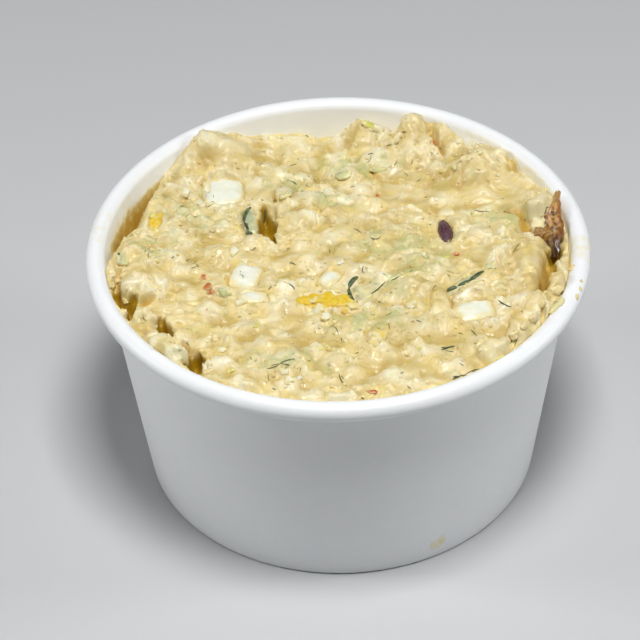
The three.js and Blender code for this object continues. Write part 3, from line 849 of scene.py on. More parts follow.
shapes = [thick_sheet(90, 40, flake_at(CRISP_SPINE, CRISP_WIDTHS, CRISP_FACE, 0.9, 0.28)),
          thick_sheet(50, 30, flake_at(CURL_SPINE, CURL_WIDTHS, CURL_FACE, -0.9, 0.2))]
points, faces, along, across = [], [], [], []
for number, (more, more_faces, s, t) in enumerate(shapes):
    first = sum(len(block) for block in points)
    points.append(more)
    faces += [tuple(first + k for k in face) for face in more_faces]
    along.append(s if number == 0 else np.full_like(s, CURL_TONE))
    across.append(t)
crisp_points, crisp_faces = np.vstack(points), faces
print("crisp:", len(crisp_faces), "faces, top at", round(float(crisp_points[:, 2].max()), 1), "mm")

# %% [markdown]
# ### Fried crust
#
# Frying browns by the Maillard reaction, unevenly: thin edges go amber and let light through,
# folds stay mauve and dull, and oil leaves a gloss. Noise alone would blotch it the same all
# over. Two numbers that the shape hands over, along and across the flake, say where it is
# which.

# %% The crisp's finish
crust, tree, shader, place = new_material("fried onion crust")
blotch = add_node(tree, "ShaderNodeTexNoise",
                  {"Vector": place, "Scale": 1 / (1.1 * MM), "Detail": 2.0, "Distortion": 0.2})
blister = add_node(tree, "ShaderNodeTexNoise",
                   {"Vector": place, "Scale": 1 / (0.6 * MM), "Detail": 4.0})
along_it = add_node(tree, "ShaderNodeAttribute", attribute_name="along").outputs["Fac"]
across_it = add_node(tree, "ShaderNodeAttribute", attribute_name="across").outputs["Fac"]
tone = laid_over(tree, linear("#643d1c"), "#d0a468", blotch.outputs["Fac"], 0.36, 0.62)
tone = laid_over(tree, tone, "#925408", across_it, 0.2, 0.8, 0.85)      # amber along one edge
tone = laid_over(tree, tone, "#bf985c", along_it, 0.62, 0.9, 0.7)       # pale at the top
tone = laid_over(tree, tone, "#3c1e02", along_it, 0.4, 0.1, 0.95)       # dark at the foot
tone = laid_over(tree, tone, "#b98c4a", along_it, -0.6, -0.9, 0.7)      # and paler on the curled flap
bump = add_node(tree, "ShaderNodeBump",
                {"Height": blister.outputs["Fac"], "Strength": 0.8, "Distance": 0.25 * MM})
fill(tree, shader, {
    "Base Color": tone, "Normal": bump.outputs[0], "Roughness": 0.4, "Subsurface Weight": 0.25,
    "Subsurface Radius": (1.0, 0.6, 0.2), "Subsurface Scale": 0.8 * MM,
    "Coat Weight": 0.45, "Coat Roughness": 0.15})
crisp = add_piece("crisp_flake", crisp_points, crisp_faces, crust,
                  {"along": np.concatenate(along), "across": np.concatenate(across)})
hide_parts("fried_crisp")
print(crust.name, "has", len(tree.nodes), "nodes")

# %% [markdown]
# ### Lumps, bits and crumbs
#
# Dressing clings to every lump, so lumps join each other in soft creases, never in sharp
# ones. Each lump is a low dome with a wandering outline. A smooth maximum lays it over what
# is there already. Noise alone would be quicker, but it has no lumps that overlap. The spoon
# pressed some places flat, and there lumps are fewer and streaks show. A second map remembers
# which lump lies on top at each spot, because potato, yolk and egg white differ in colour.

# %% Where the spoon left the salad smooth
# x, y, length, width, direction: millimetres and degrees
SMOOTH_PLACES = [
    (-25, 40, 22, 9, -25), (33, 23, 30, 12, -15), (-14, -30, 32, 8, -8), (-38, -9, 15, 8, 0),
    (20, 30, 26, 9, -12), (-27, 7, 12, 8, 0), (-6, 0, 15, 6, -5), (24, -30, 22, 7, 15),
    (4, -43, 34, 8, 0), (43, -8, 8, 17, -5), (43, 20, 11, 9, 0), (-30, -20, 20, 6, -20),
    (12, 22, 18, 6, -8), (34, -2, 10, 8, 0), (-4, -22, 16, 5, 0), (-21, -4.5, 11, 10, 0),
    (43, -21, 9, 22, -25),
]
pressed = np.zeros_like(MAP_X)
for x, y, length, width, direction in SMOOTH_PLACES:
    pressed = np.maximum(pressed, np.exp(-oval(x, y, length, width, direction) ** 4))
lumpy = np.clip(1 - pressed + 0.18 * unevenness(9.0), 0.05, 1)
print(f"{100 * (pressed > 0.5).mean():.0f}% of the map is pressed smooth")

# %% Lay one kind of lump
JOIN = 0.16                       # mm, how softly one lump joins the next
PILE_RADIUS = 53.5                # mm from the middle to the furthest lump
NOWHERE = -9.0                    # mm, a depth that no lump reaches


def pile(relief, tint, count, sizes, rises, sinks, colours):
    """Lays `count` lumps over the relief, and marks the tint of the ones on top."""
    for _ in range(count):
        reach = PILE_RADIUS * math.sqrt(chance.random())
        bearing = chance.uniform(0, 2 * math.pi)
        x, y = reach * math.cos(bearing), reach * math.sin(bearing)
        length = chance.uniform(*sizes)
        width = length * chance.uniform(0.5, 0.95)
        turn = chance.normal(0, math.radians(45))
        rise = chance.uniform(*rises)
        sink = chance.uniform(*sinks)
        colour = chance.choice(colours)
        wander = chance.uniform(0, 2 * math.pi, 2)
        if chance.random() > sample(lumpy, x, y):
            continue
        (i0, i1), (j0, j1) = (
            np.clip([(at - length + HALF) / PITCH, (at + length + HALF) / PITCH],
                    0, COUNT - 1).astype(int) for at in (x, y))
        window = np.s_[j0:j1 + 1, i0:i1 + 1]
        dx, dy = MAP_X[window] - x, MAP_Y[window] - y
        along = (dx * math.cos(turn) + dy * math.sin(turn)) / (length / 2)
        across = (dy * math.cos(turn) - dx * math.sin(turn)) / (width / 2)
        round_it = np.arctan2(across, along)
        out = np.hypot(along, across) * (1 + 0.11 * np.sin(3 * round_it + wander[0])
                                         + 0.07 * np.sin(5 * round_it + wander[1]))
        dome = rise * np.clip(1 - out ** 2.4, 0, 1) ** 0.6 * (1 + 0.25 * along) - sink
        dome[out >= 1] = NOWHERE
        here = relief[window]
        share = np.clip(0.5 + 0.5 * (dome - here) / JOIN, 0, 1)
        relief[window] = here + (dome - here) * share + JOIN * share * (1 - share)
        tint[window] += (colour - tint[window]) * share


relief = np.zeros_like(MAP_X)
tint = np.zeros_like(MAP_X)
print("lumps lie up to", PILE_RADIUS, "mm from the middle")

# %% Pile the lumps up
# how many, length in mm, rise in mm, how deep they sit in mm, and tints: -1 is pale, 1 yellow
LUMPS = [
    (320, (4.5, 9.0), (0.9, 1.9), (0.2, 0.8), (-0.7, -0.2, 0.0, 0.4)),
    (1400, (2.2, 4.6), (0.6, 1.3), (0.0, 0.5), (-1.0, -0.4, 0.0, 0.5)),
    (4000, (0.8, 1.9), (0.2, 0.5), (-0.1, 0.3), (-0.8, -0.4, 0.0, 0.6)),
]
UNDER_CRISP = (49.5, 7.5, 8.0, 22.0, -8)     # lies lower; as a row of SMOOTH_PLACES
for kind in LUMPS:
    pile(relief, tint, *kind)
wander_x, wander_y = (0.45 * unevenness(4.0) + 0.16 * unevenness(1.4) for _ in range(2))
relief = sample(soften(relief, 0.09), MAP_X + wander_x, MAP_Y + wander_y)
tint = sample(soften(tint, 0.7), MAP_X + wander_x, MAP_Y + wander_y)
streaks = 0.06 * unevenness(1.6, 5.0) + 0.03 * unevenness(0.8, 3.0)
relief += streaks * (0.35 + 0.65 * pressed)
relief += 0.26 * unevenness(8.0, 1.5) + 0.1 * unevenness(4.0, 1.3)
under_crisp = np.exp(-oval(*UNDER_CRISP) ** 4)
relief = relief * (1 - 0.85 * under_crisp) - 0.5 * under_crisp
print(f"relief from {relief.min():.1f} to {relief.max():.1f} mm, spread {relief.std():.2f}")

# %% [markdown]
# ### Dressing laps over the pieces
#
# Cutting the pieces out of the salad with a Boolean would leave a hard line round each, and
# real dressing has none. Instead the map is looked down on once more, now on each fine piece.
# Well inside a piece's outline the salad is lowered, so that the piece shows. Along the
# outline it stays, and a little noise makes the dressing creep over the edge unevenly.

# %% Look down on a fine piece
def looked_at(piece):
    """The height of a fine piece at each map point, and nan beside it."""
    shape = tree_of(piece)
    x = [v.co.x / MM for v in piece.data.vertices]
    y = [v.co.y / MM for v in piece.data.vertices]
    columns = np.flatnonzero((AXIS >= min(x)) & (AXIS <= max(x)))
    rows = np.flatnonzero((AXIS >= min(y)) & (AXIS <= max(y)))
    found = np.full_like(MAP_X, np.nan)
    found[np.ix_(rows, columns)] = look_down(shape, AXIS[columns], AXIS[rows])
    return found


print("the bean's top is at", round(float(np.nanmax(looked_at(sunk["dark_bean"]))), 1), "mm")

# %% Lap the dressing over
# how far from a piece's outline the dressing laps: 0.5 is on it, more is further inside
LAP = {"egg_white_1": 0.2, "egg_white_2": 0.3, "egg_white_3": 0.45, "egg_white_4": 0.5,
       "egg_white_5": 0.6, "egg_yolk_1": 0.35, "egg_yolk_2": 0.4, "cucumber_1": 0.55,
       "cucumber_2": 0.9, "cucumber_3": 0.62, "dark_bean": 0.45}
CLEARED = 0.8                     # mm that the salad drops under a piece
LEVEL_REACH = 1.3                 # mm over which the salad comes to a piece's own height
cleared = np.zeros_like(MAP_X)
creep = 0.1 * unevenness(2.2) + 0.05 * unevenness(0.9)
for node, lap in LAP.items():
    height = looked_at(sunk[node])
    covered = np.isfinite(height).astype(float)
    near = soften(covered, LEVEL_REACH)
    level = soften(np.nan_to_num(height), LEVEL_REACH) / np.maximum(near, 1e-4)
    beside = smooth_step(near, 0.02, 0.45)
    bed += (level + 0.15 - bed) * beside
    relief *= 1 - 0.55 * beside
    inside = soften(covered, 0.45)
    cleared = np.maximum(cleared, smooth_step(inside + creep, lap - 0.1, lap + 0.3))
relief = relief * (1 - cleared) - CLEARED * cleared
print(f"{cleared.sum() * PITCH ** 2:.0f} square mm of pieces show")

# %% [markdown]
# ### Pits and creases
#
# Where the salad was dropped in by the spoonful, it bridges over hollows with torn edges, and
# lumps meet in creases. Chance could place them, but this salad is known by where they are.
# The big pits lie where the CAD model has them. Their outlines, and the creases, are drawn as
# pixels of the photograph and brought onto the map along the lines of sight. A pit is a bowl
# with steep sides. A crease is gentle on one side and steep on the other, as where one lump
# leans over the next.

# %% From pixels to the map
FIRST_GUESS = 58.0                # mm, a usual height of the salad's top


def on_map(pixels):
    """Where lines of sight through pixels meet the salad, as x and y in millimetres."""
    ways = sight(pixels)
    height = np.full(len(ways), FIRST_GUESS)
    for _ in range(8):
        spots = CAMERA_AT + ways * ((height - CAMERA_AT[2]) / ways[:, 2])[:, None]
        height = sample(far_forms, spots[:, 0], spots[:, 1])
    return spots[:, :2]


def from_line(line):
    """For each map point: distance from a line, which side of it, and how far along it is."""
    nearest, side, along = (np.full_like(MAP_X, fill) for fill in (1e3, 1.0, 0.0))
    for number, (start, end) in enumerate(zip(line, line[1:])):
        step = end - start
        dx, dy = MAP_X - start[0], MAP_Y - start[1]
        t = np.clip((dx * step[0] + dy * step[1]) / (step @ step), 0, 1)
        away = np.hypot(dx - t * step[0], dy - t * step[1])
        closer = away < nearest
        nearest = np.where(closer, away, nearest)
        side = np.where(closer, np.sign(step[0] * dy - step[1] * dx), side)
        along = np.where(closer, (number + t) / (len(line) - 1), along)
    return nearest, side, along


def inside_of(outline):
    """Whether each map point lies in a closed outline."""
    inside = np.zeros(MAP_X.shape, bool)
    for (x0, y0), (x1, y1) in zip(outline, np.roll(outline, -1, axis=0)):
        level = (MAP_Y > y0) != (MAP_Y > y1)
        inside ^= level & (MAP_X < (x1 - x0) * (MAP_Y - y0) / (y1 - y0 + 1e-9) + x0)
    return inside


print("the middle pixel meets the map at", on_map([(320, 320)]).round(1))

# %% Outline the pits
# depth in millimetres, and the outline's pixels
PITS = [
    (4.2, [(262, 211), (265, 208), (269, 214), (270, 218), (275, 220), (277, 228), (276, 236),
           (277, 240), (274, 245), (266, 243), (261, 240), (260, 228)]),
    (3.6, [(114, 290), (120, 290), (121, 299), (126, 303), (135, 300), (138, 318), (130, 321),
           (128, 312), (122, 306), (115, 303)]),
    (4.0, [(183, 366), (188, 362), (190, 356), (196, 353), (203, 356), (206, 361), (199, 373),
           (192, 370)]),
    (3.0, [(156, 325), (160, 320), (168, 323), (173, 330), (175, 338), (172, 343), (165, 341),
           (159, 337)]),
    (4.5, [(546, 250), (551, 246), (556, 243), (562, 249), (561, 254), (552, 259)]),
    (3.5, [(553, 258), (557, 262), (556, 270), (557, 279), (551, 284), (547, 292), (541, 293),
           (542, 288), (548, 279), (552, 268)]),
]
BOWL = 0.9                        # mm from the outline to where the steep side ends
WIDER = 0.3                       # mm that a bowl is wider than its outline, as lumps lap in
torn = 0.22 * unevenness(3.0) + 0.08 * unevenness(1.3)
pit_inside, pit_depth = np.zeros_like(MAP_X), np.zeros_like(MAP_X)
for depth, outline in PITS:
    outline = on_map(outline)
    away = from_line(np.vstack([outline, outline[:1]]))[0]
    within = np.where(inside_of(outline), away, -away) + torn + WIDER
    bowl = np.clip(within / BOWL, 0, 1)
    pit_inside = np.maximum(pit_inside, smooth_step(within, -0.15, 0.2))
    pit_depth = np.maximum(pit_depth, depth * (0.6 * bowl ** 0.7 + 0.4 * smooth_step(within, 0, 2)))
pit_depth = soften(pit_depth, 0.2)
print(f"deepest pit goes {float(pit_depth.max()):.1f} mm down")

# %% Raise the big lumps
# pixel of the middle, length and width in mm, direction in degrees, rise in mm
LOBES = [
    (147, 288, 13, 8, -5, 1.4), (125, 314, 3.4, 3.4, 0, 1.2), (146, 322, 5, 5.5, 80, 1.0),
    (162, 352, 11, 5.0, -35, 1.2), (184, 357, 4, 3.5, 60, 1.2), (112, 277, 6, 4, 70, 1.3),
    (116, 262, 3.2, 4, 0, 1.0), (531, 266, 15, 9, 78, 1.9), (521, 240, 6, 5, 0, 1.0),
    (564, 266, 6, 3.5, 80, 1.4), (556, 290, 5.5, 4, 50, 1.4), (567, 240, 4, 2.6, 85, 0.9),
    (555, 311, 7, 4, 60, 1.4), (534, 312, 9, 5, 70, 1.3), (514, 336, 7, 6, 50, 1.1),
    (495, 352, 8, 5, 35, 0.9),
    (477, 172, 8, 6.5, 80, 1.4), (498, 161, 7, 6, 20, 1.3), (516, 160, 7, 3, 110, 1.2),
    (455, 142, 12, 8, 115, 1.0), (440, 127, 9, 6, 120, 2.6), (412, 120, 7, 6, 0, 0.5),
    (365, 133, 10, 9, 0, 1.2), (198, 155, 8, 6, 80, 0.7), (228, 152, 14, 10, -20, 0.5),
    (405, 150, 14, 9, -10, 0.7), (160, 258, 9, 6, 0, 0.8), (134, 250, 6, 5, 0, 0.9),
    (418, 288, 7, 5, 60, 1.0), (438, 300, 5, 3.5, 80, 1.1), (380, 337, 8, 5.5, 90, 0.9),
    (296, 228, 12, 8, 90, 0.9), (300, 203, 8, 5, -20, 0.8), (183, 222, 5, 4, 0, 0.9),
    (476, 309, 10, 6, 0, 0.6), (215, 345, 9, 5, 10, 0.7), (420, 345, 8, 6, 20, 0.7),
    (330, 318, 7, 4, 0, 0.6), (262, 330, 9, 6, 0, 0.6), (300, 355, 8, 5, -10, 0.7),
]
wavy = 0.09 * unevenness(3.0) + 0.04 * unevenness(1.4)
raised = np.zeros_like(MAP_X)
for x, y, length, width, direction, rise in LOBES:
    (middle,) = on_map([(x, y)])
    out = oval(*middle, length, width, direction) + wavy
    raised = np.maximum(raised, rise * np.clip(1 - out ** 3, 0, 1) ** 0.5)
raised *= 1 - 0.9 * soften(cleared, 0.8)
bed = np.maximum(bed, far_forms - 0.8) + soften(raised, 0.15)
print(len(LOBES), "big lumps")

# %% Press the creases
# depth, width of the gentle and of the steep side in mm, and pixels; the gentle side is on the
# right as one goes along the line
CREASES = [
    (3.4, 3.0, 0.3, [(541, 227), (535, 231), (529, 230), (523, 227), (518, 221), (512, 214),
                     (504, 212)]),
    (4.0, 2.6, 0.4, [(552, 256), (554, 266), (552, 274), (549, 283), (543, 293)]),
    (3.2, 1.6, 0.3, [(172, 341), (165, 338), (159, 335), (157, 327)]),
    (2.0, 0.8, 0.3, [(190, 356), (185, 349), (181, 343)]),
    (1.8, 1.0, 0.5, [(114, 289), (117, 279), (120, 268)]),
    (1.2, 0.8, 0.3, [(119, 274), (130, 276), (142, 272)]),
    (1.8, 0.9, 0.3, [(139, 303), (148, 303), (156, 297)]),
    (2.0, 1.0, 0.4, [(445, 155), (437, 145), (432, 138), (426, 132)]),
    (1.8, 0.6, 0.3, [(391, 132), (395, 137), (394, 143)]),
    (1.4, 0.7, 0.4, [(485, 174), (486, 168), (479, 162)]),
    (1.2, 0.8, 0.3, [(457, 188), (461, 178), (464, 168), (472, 161)]),
    (1.2, 0.8, 0.3, [(520, 174), (512, 170), (508, 163), (505, 152)]),
    (1.1, 0.8, 0.4, [(534, 209), (536, 201), (535, 192)]),
    (1.0, 0.9, 0.3, [(428, 180), (424, 188), (413, 184)]),
    (1.0, 1.3, 0.3, [(366, 167), (376, 174), (400, 178), (432, 185)]),
    (2.2, 0.7, 0.4, [(277, 205), (274, 199), (273, 190)]),
    (0.8, 1.4, 0.3, [(210, 162), (225, 166), (240, 170), (254, 175)]),
    (1.8, 0.7, 0.3, [(231, 286), (227, 281), (225, 273)]),
    (2.2, 0.7, 0.4, [(453, 308), (450, 301), (448, 295)]),
    (1.8, 0.7, 0.4, [(405, 308), (401, 300)]),
    (1.2, 0.9, 0.4, [(502, 271), (500, 262), (498, 253)]),
    (0.9, 0.8, 0.4, [(509, 238), (505, 224)]),
    (1.3, 0.7, 0.3, [(538, 303), (548, 304), (560, 299)]),
    (1.3, 0.6, 0.4, [(541, 330), (543, 318), (541, 306)]),
    (1.5, 0.8, 0.3, [(535, 293), (527, 307), (515, 321), (507, 338), (496, 352)]),
    (1.0, 0.8, 0.4, [(205, 170), (200, 160), (190, 153)]),
    (1.2, 0.8, 0.4, [(312, 153), (307, 147)]),
    (1.4, 0.7, 0.4, [(380, 199), (376, 191)]),
    (0.9, 0.8, 0.4, [(160, 274), (170, 268), (176, 258)]),
    (1.0, 0.8, 0.4, [(330, 352), (318, 344), (309, 341)]),
    (1.1, 0.8, 0.4, [(371, 349), (366, 338), (368, 326)]),
    (1.0, 0.8, 0.4, [(425, 314), (431, 306), (429, 296)]),
]
crease_depth = np.zeros_like(MAP_X)
for depth, gentle, steep, line in CREASES:
    away, side, along = from_line(on_map(line))
    fade = np.clip(5 * np.minimum(along, 1 - along), 0, 1) ** 0.5
    away = np.clip(away + 0.35 * torn, 0, None)
    drop = depth * fade * np.exp(-(away / np.where(side < 0, gentle, steep)) ** 2)
    crease_depth = np.maximum(crease_depth, drop)
bed = bed - np.maximum(crease_depth, pit_depth)
relief *= 1 - np.maximum(0.9 * pit_inside, 0.6 * smooth_step(crease_depth, 0.4, 1.6))
print(len(CREASES), "creases, the deepest", round(float(crease_depth.max()), 1), "mm")

# %% [markdown]
# ### The far edge
#
# Against the inside of the wall the salad's outline is seen nearly edge on, so a millimetre of
# height there shows as several pixels. A line of sight that grazes the photograph's outline
# is a ceiling over the map. What stands above it is pressed down softly, which leaves the
# lumps their roundness where cutting would make a flat.

# %% Trim the far edge
# pixels of the salad's outline against the inside of the wall, from left to right
FAR_EDGE = [
    (188, 143), (190, 140), (194, 133), (203, 128), (212, 128), (232, 131), (249, 132), (277, 133),
    (300, 133), (310, 136), (317, 139), (329, 138), (339, 135), (345, 131), (351, 125), (358, 121),
    (368, 122), (381, 126), (390, 130), (393, 134), (397, 132), (400, 126), (403, 117), (412, 113),
    (420, 115), (427, 121), (436, 120), (443, 121), (449, 127), (456, 133), (463, 140), (472, 147),
    (482, 144), (493, 147), (503, 151), (514, 156), (519, 161), (524, 170), (533, 178),
]


def under_sight(edge):
    """For each map point, the height of the line of sight that grazes the edge over it."""
    edge_x, edge_y = np.array(edge, float).T
    turn = np.array(CAMERA_TURN.to_matrix())
    height = far_forms
    for _ in range(3):
        seen = (np.stack([MAP_X, MAP_Y, height], -1) - CAMERA_AT).reshape(-1, 3) @ turn
        column = PHOTO_WIDTH / 2 - seen[:, 0] / seen[:, 2] * FOCAL / SENSOR * PHOTO_WIDTH
        ways = sight(np.stack([column, np.interp(column, edge_x, edge_y)], 1))
        gone = (MAP_Y.ravel() - CAMERA_AT[1]) / ways[:, 1]
        height = (CAMERA_AT[2] + gone * ways[:, 2]).reshape(MAP_X.shape)
    return height


HEADROOM = 0.5                    # mm between the bed and the ceiling, for the lumps
BED_SOFT, LUMPS_SOFT = 0.8, 0.12  # mm over which each is pressed down
ceiling = under_sight(FAR_EDGE)
bed = bed - BED_SOFT * np.logaddexp(0, (bed + HEADROOM - ceiling) / BED_SOFT)
over = bed + relief - ceiling
relief = relief - LUMPS_SOFT * np.logaddexp(0, over / LUMPS_SOFT)
print(f"the far edge is trimmed over {(over > 0).sum() * PITCH ** 2:.0f} square mm")

# %% [markdown]
# ### From a map to a mesh
#
# A square grid drawn onto a disc keeps all its cells about the same size, which rings round
# a centre wouldn't. Low forms move straight up, but the lumps are pushed out along the
# slope's own direction, so that they bulge over steep places as real ones do. Plain sides and
# a flat bottom close the shape, because nothing of them shows through the paper.

# %% A grid on a disc
CELLS = 300                       # squares along each side of the grid


def disc_grid(cells):
    """A square grid mapped onto the unit disc."""
    line = np.linspace(-1, 1, cells + 1)
    u, v = np.meshgrid(line, line)
    wide = np.abs(u) > np.abs(v)
    radius = np.where(wide, u, v)
    safe = np.where(radius == 0, 1, radius)
    ratio = np.where(wide, v, u) / safe
    angle = np.where(wide, np.pi / 4 * ratio, np.pi / 2 - np.pi / 4 * ratio)
    return radius * np.cos(angle), radius * np.sin(angle)


unit_x, unit_y = disc_grid(CELLS)
print(unit_x.size, "points over the salad's top")

# %% How far the salad goes out
# where the salad has shrunk away from the wall: bearing in degrees, and by how many mm
SHRUNK = [(136, 0), (141, 0.4), (145, 1.5), (149, 2.4), (152, 3.0), (156, 4.2), (159, 5.8),
          (162, 6.7), (165, 6.2), (167, 4.2), (169, 3.1), (173, 2.3), (176, 1.5), (180, 0.9),
          (188, 0)]
TOUCH = 0.1                       # mm that the salad reaches into the board, so no gap shows
EDGE_RADIUS = 51                  # mm from the middle, where the edge's height is read
ROLL_INSIDE = inner_wall(ROLL_HEIGHT)


def reach_at(bearing, height):
    """How far the salad goes out at a bearing in degrees, less where it has shrunk away."""
    wall_at = np.minimum(inner_wall(height) + TOUCH, ROLL_INSIDE)
    return wall_at - np.interp(bearing % 360, *np.array(SHRUNK, float).T)


bearing = np.degrees(np.arctan2(unit_y, unit_x))
edge_height = sample(soften(bed, 1.0), EDGE_RADIUS * np.cos(np.radians(bearing)),
                     EDGE_RADIUS * np.sin(np.radians(bearing)))
reach = reach_at(bearing, edge_height)
print(f"the salad goes out {reach.min():.1f} to {reach.max():.1f} mm")

# %% Lay the grid on the map
def slopes(field, size):
    """How steeply a map rises along X and along Y, once it is softened by `size` mm."""
    down_y, down_x = np.gradient(soften(field, size), PITCH)
    return down_x, down_y


flat_x, flat_y = unit_x * reach, unit_y * reach
base_height = sample(bed, flat_x, flat_y)
push = sample(relief, flat_x, flat_y)
slope_x, slope_y = slopes(bed, 1.2)
tilt_x, tilt_y = sample(slope_x, flat_x, flat_y), sample(slope_y, flat_x, flat_y)
steep = np.sqrt(1 + tilt_x ** 2 + tilt_y ** 2)
inland = smooth_step(1 - np.hypot(unit_x, unit_y), 0.0, 0.03)
top_x = flat_x - push * tilt_x / steep * inland
top_y = flat_y - push * tilt_y / steep * inland
top = np.stack([top_x, top_y, base_height + push], -1).reshape(-1, 3)
print(f"the top lies between {top[:, 2].min():.1f} and {top[:, 2].max():.1f} mm")

# %% Close the sides and the bottom
SHRUNK_DEPTH = 9.0                # mm below the top where it meets the wall again
row = CELLS + 1
faces = [(a, a + 1, a + row + 1, a + row)
         for j in range(CELLS) for a in range(j * row, j * row + CELLS)]
border = ([*range(CELLS)] + [j * row + CELLS for j in range(CELLS)]
          + [*range(CELLS * row + CELLS, CELLS * row, -1)] + [j * row for j in range(CELLS, 0, -1)])
rings = [border]
points = [top]
below = BASE_TOP + HEM_GAP
for level in range(1, 4):
    edge_points = top[border]
    angle = np.arctan2(edge_points[:, 1], edge_points[:, 0])
    height = edge_points[:, 2] - SHRUNK_DEPTH * level / 2
    height = np.full(len(border), below) if level == 3 else height
    out = np.minimum(inner_wall(height), ROLL_INSIDE)
    if level == 1:
        out = (out + np.hypot(edge_points[:, 0], edge_points[:, 1])) / 2
    first = sum(len(block) for block in points)
    points.append(np.stack([out * np.cos(angle), out * np.sin(angle), height], 1))
    rings.append([*range(first, first + len(border))])
for upper, lower in zip(rings, rings[1:]):
    for s in range(len(border)):
        t = (s + 1) % len(border)
        faces.append((upper[s], lower[s], lower[t], upper[t]))
faces.append(tuple(reversed(rings[-1])))
all_points = np.vstack(points)
print(f"salad: {len(all_points)} points, {len(faces)} faces")

# %% [markdown]
# ### Dressed boiled potato
#
# The dressing is an emulsion of oil in egg: creamy, opaque and moist. Thick places are beige,
# and lumps of potato and egg show paler or more yellow. Light and shade are painted in as well:
# hollows get a darker painted shade, tops of lumps a paler painted highlight, and in creases and
# pits a painted gold stands for the light that bounces there until only gold is left. Noise
# could place those colours, but they belong to the forms. The height map knows which spot is
# hollow and which is high, so it hands that over as attributes.

# %% The salad's finish
potato, tree, shader, place = new_material("potato in creamy dressing")
grain = add_node(tree, "ShaderNodeTexNoise",
                 {"Vector": place, "Scale": 1 / (0.55 * MM), "Detail": 6.0, "Roughness": 0.65})
lump_kind_and_painted_tops = add_node(tree, "ShaderNodeAttribute", attribute_name="tint").outputs["Fac"]
# paler where the tint is low: each lump's own kind, and the painted highlight on the tops of lumps
tone = laid_over(tree, linear("#ead79e"), "#f6edca", lump_kind_and_painted_tops, 0.0, -1.2)
tone = laid_over(tree, tone, "#e9d070", lump_kind_and_painted_tops, 0.0, 1.0, 0.7)
# hollow lays painted shade, gold and pit lay a painted gold for shade and light bounced in creases and
# pits, herb is the herbs' own stain
for attribute, colour, most in (("hollow", "#c9ae62", 0.9), ("herb", "#c1c488", 0.75),
                                ("gold", "#d2aa3a", 1.0), ("pit", "#ad8914", 1.0)):
    value = add_node(tree, "ShaderNodeAttribute", attribute_name=attribute)
    amount = add_node(tree, "ShaderNodeMath", {0: value.outputs["Fac"], 1: most},
                      operation="MULTIPLY")
    mixed = add_node(tree, "ShaderNodeMix", {
        MIX_FACTOR: amount.outputs[0], MIX_A: tone, MIX_B: linear(colour)}, data_type="RGBA")
    tone = mixed.outputs[MIX_RESULT]
bump = add_node(tree, "ShaderNodeBump",
                {"Height": grain.outputs["Fac"], "Strength": 0.8, "Distance": 0.2 * MM})
wet = add_node(tree, "ShaderNodeMapRange", {
    "Value": grain.outputs["Fac"], "From Min": 0.3, "From Max": 0.7,
    "To Min": 0.5, "To Max": 0.28})
fill(tree, shader, {
    "Base Color": tone, "Normal": bump.outputs[0], "Roughness": wet.outputs[0],
    "Subsurface Weight": 0.35, "Subsurface Radius": (1.0, 0.85, 0.2),
    "Subsurface Scale": 0.6 * MM, "Coat Weight": 0.22, "Coat Roughness": 0.15})
print(potato.name, "has", len(tree.nodes), "nodes")

# %% Painted shade in hollows, painted gold in creases and pits, and paler painted tops, from the forms
# places lower than the softened relief around them get the darker hollow colour: painted shade; the
# random and beige parts are the dressing's own tone
relief_tone = soften(relief, 0.4) - soften(relief, 3.0)
hollow = 0.45 * smooth_step(-relief_tone, -0.1, 0.5) + 0.55 * smooth_step(-relief_tone, 0.2, 0.8)
hollow += 0.18 * np.clip(unevenness(6.0, 1.4), -1, 2)
beige = np.clip(0.12 + 0.2 * unevenness(14.0, 1.6), 0, 0.4) * (0.5 + 0.5 * pressed)
hollow = np.clip(hollow + beige, 0, 1)
# creases, pits and places far below the CAD top turn gold: painted shade and light bounced inside them
depth = far_forms - bed - relief
gold = np.maximum(smooth_step(pit_depth, 0.5, 2.0), 0.85 * smooth_step(crease_depth, 0.4, 2.4))
gold = np.maximum(gold, smooth_step(depth, 2.5, 5.0))
# the tops of lumps are made paler: a painted highlight; the random part is the lumps' own tone
tint = tint - 0.6 * smooth_step(relief_tone, 0.0, 0.8) + 0.25 * unevenness(5.0, 1.3)
print(f"{100 * (gold > 0.5).mean():.1f}% of the map is gold, {100 * (hollow > 0.5).mean():.0f}% hollow")

# %% Where herbs stain the salad
HERB_PLACES = [(3, 36, 20, 9, 0), (8, -26, 18, 8, 0), (38, 12, 14, 9, 0), (14, 2, 22, 12, -10),
               (-34, 16, 14, 9, 0), (-12, 28, 10, 8, 0), (-42, 3, 10, 9, 0), (-12, -40, 16, 7, 0),
               (15, -9.5, 20, 10, 34), (-2, 21, 10, 6, 0)]
herb = np.zeros_like(MAP_X)
for patch in HERB_PLACES:
    herb = np.maximum(herb, np.exp(-oval(*patch) ** 2))
herb = np.clip(herb * (0.62 + 0.45 * unevenness(3.0, 1.5)) + 0.12 * unevenness(5.0), 0, 1)
print(f"herbs stain {100 * (herb > 0.3).mean():.0f}% of the map")

# %% The salad as a piece
attributes = {}
crumbly_at = np.clip(0.3 + 0.7 * lumpy - 2 * gold - 1.5 * cleared, 0, 1)
crumbly_at *= smooth_step(52.5 - np.hypot(MAP_X, MAP_Y), 0, 3)
# tint carries each lump's kind and its paler painted top; hollow, gold and pit carry painted shade and
# bounced light
for key, field in (("tint", tint), ("hollow", hollow), ("gold", gold), ("herb", herb),
                   ("pit", pit_inside), ("crumbly", crumbly_at)):
    on_top = sample(field, flat_x, flat_y).ravel()
    attributes[key] = np.concatenate([on_top, np.zeros(len(all_points) - len(on_top))])
salad = add_piece("salad_core", all_points, faces, potato, attributes)
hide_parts("potato_salad")
print("attributes on the salad:", ", ".join(attributes))

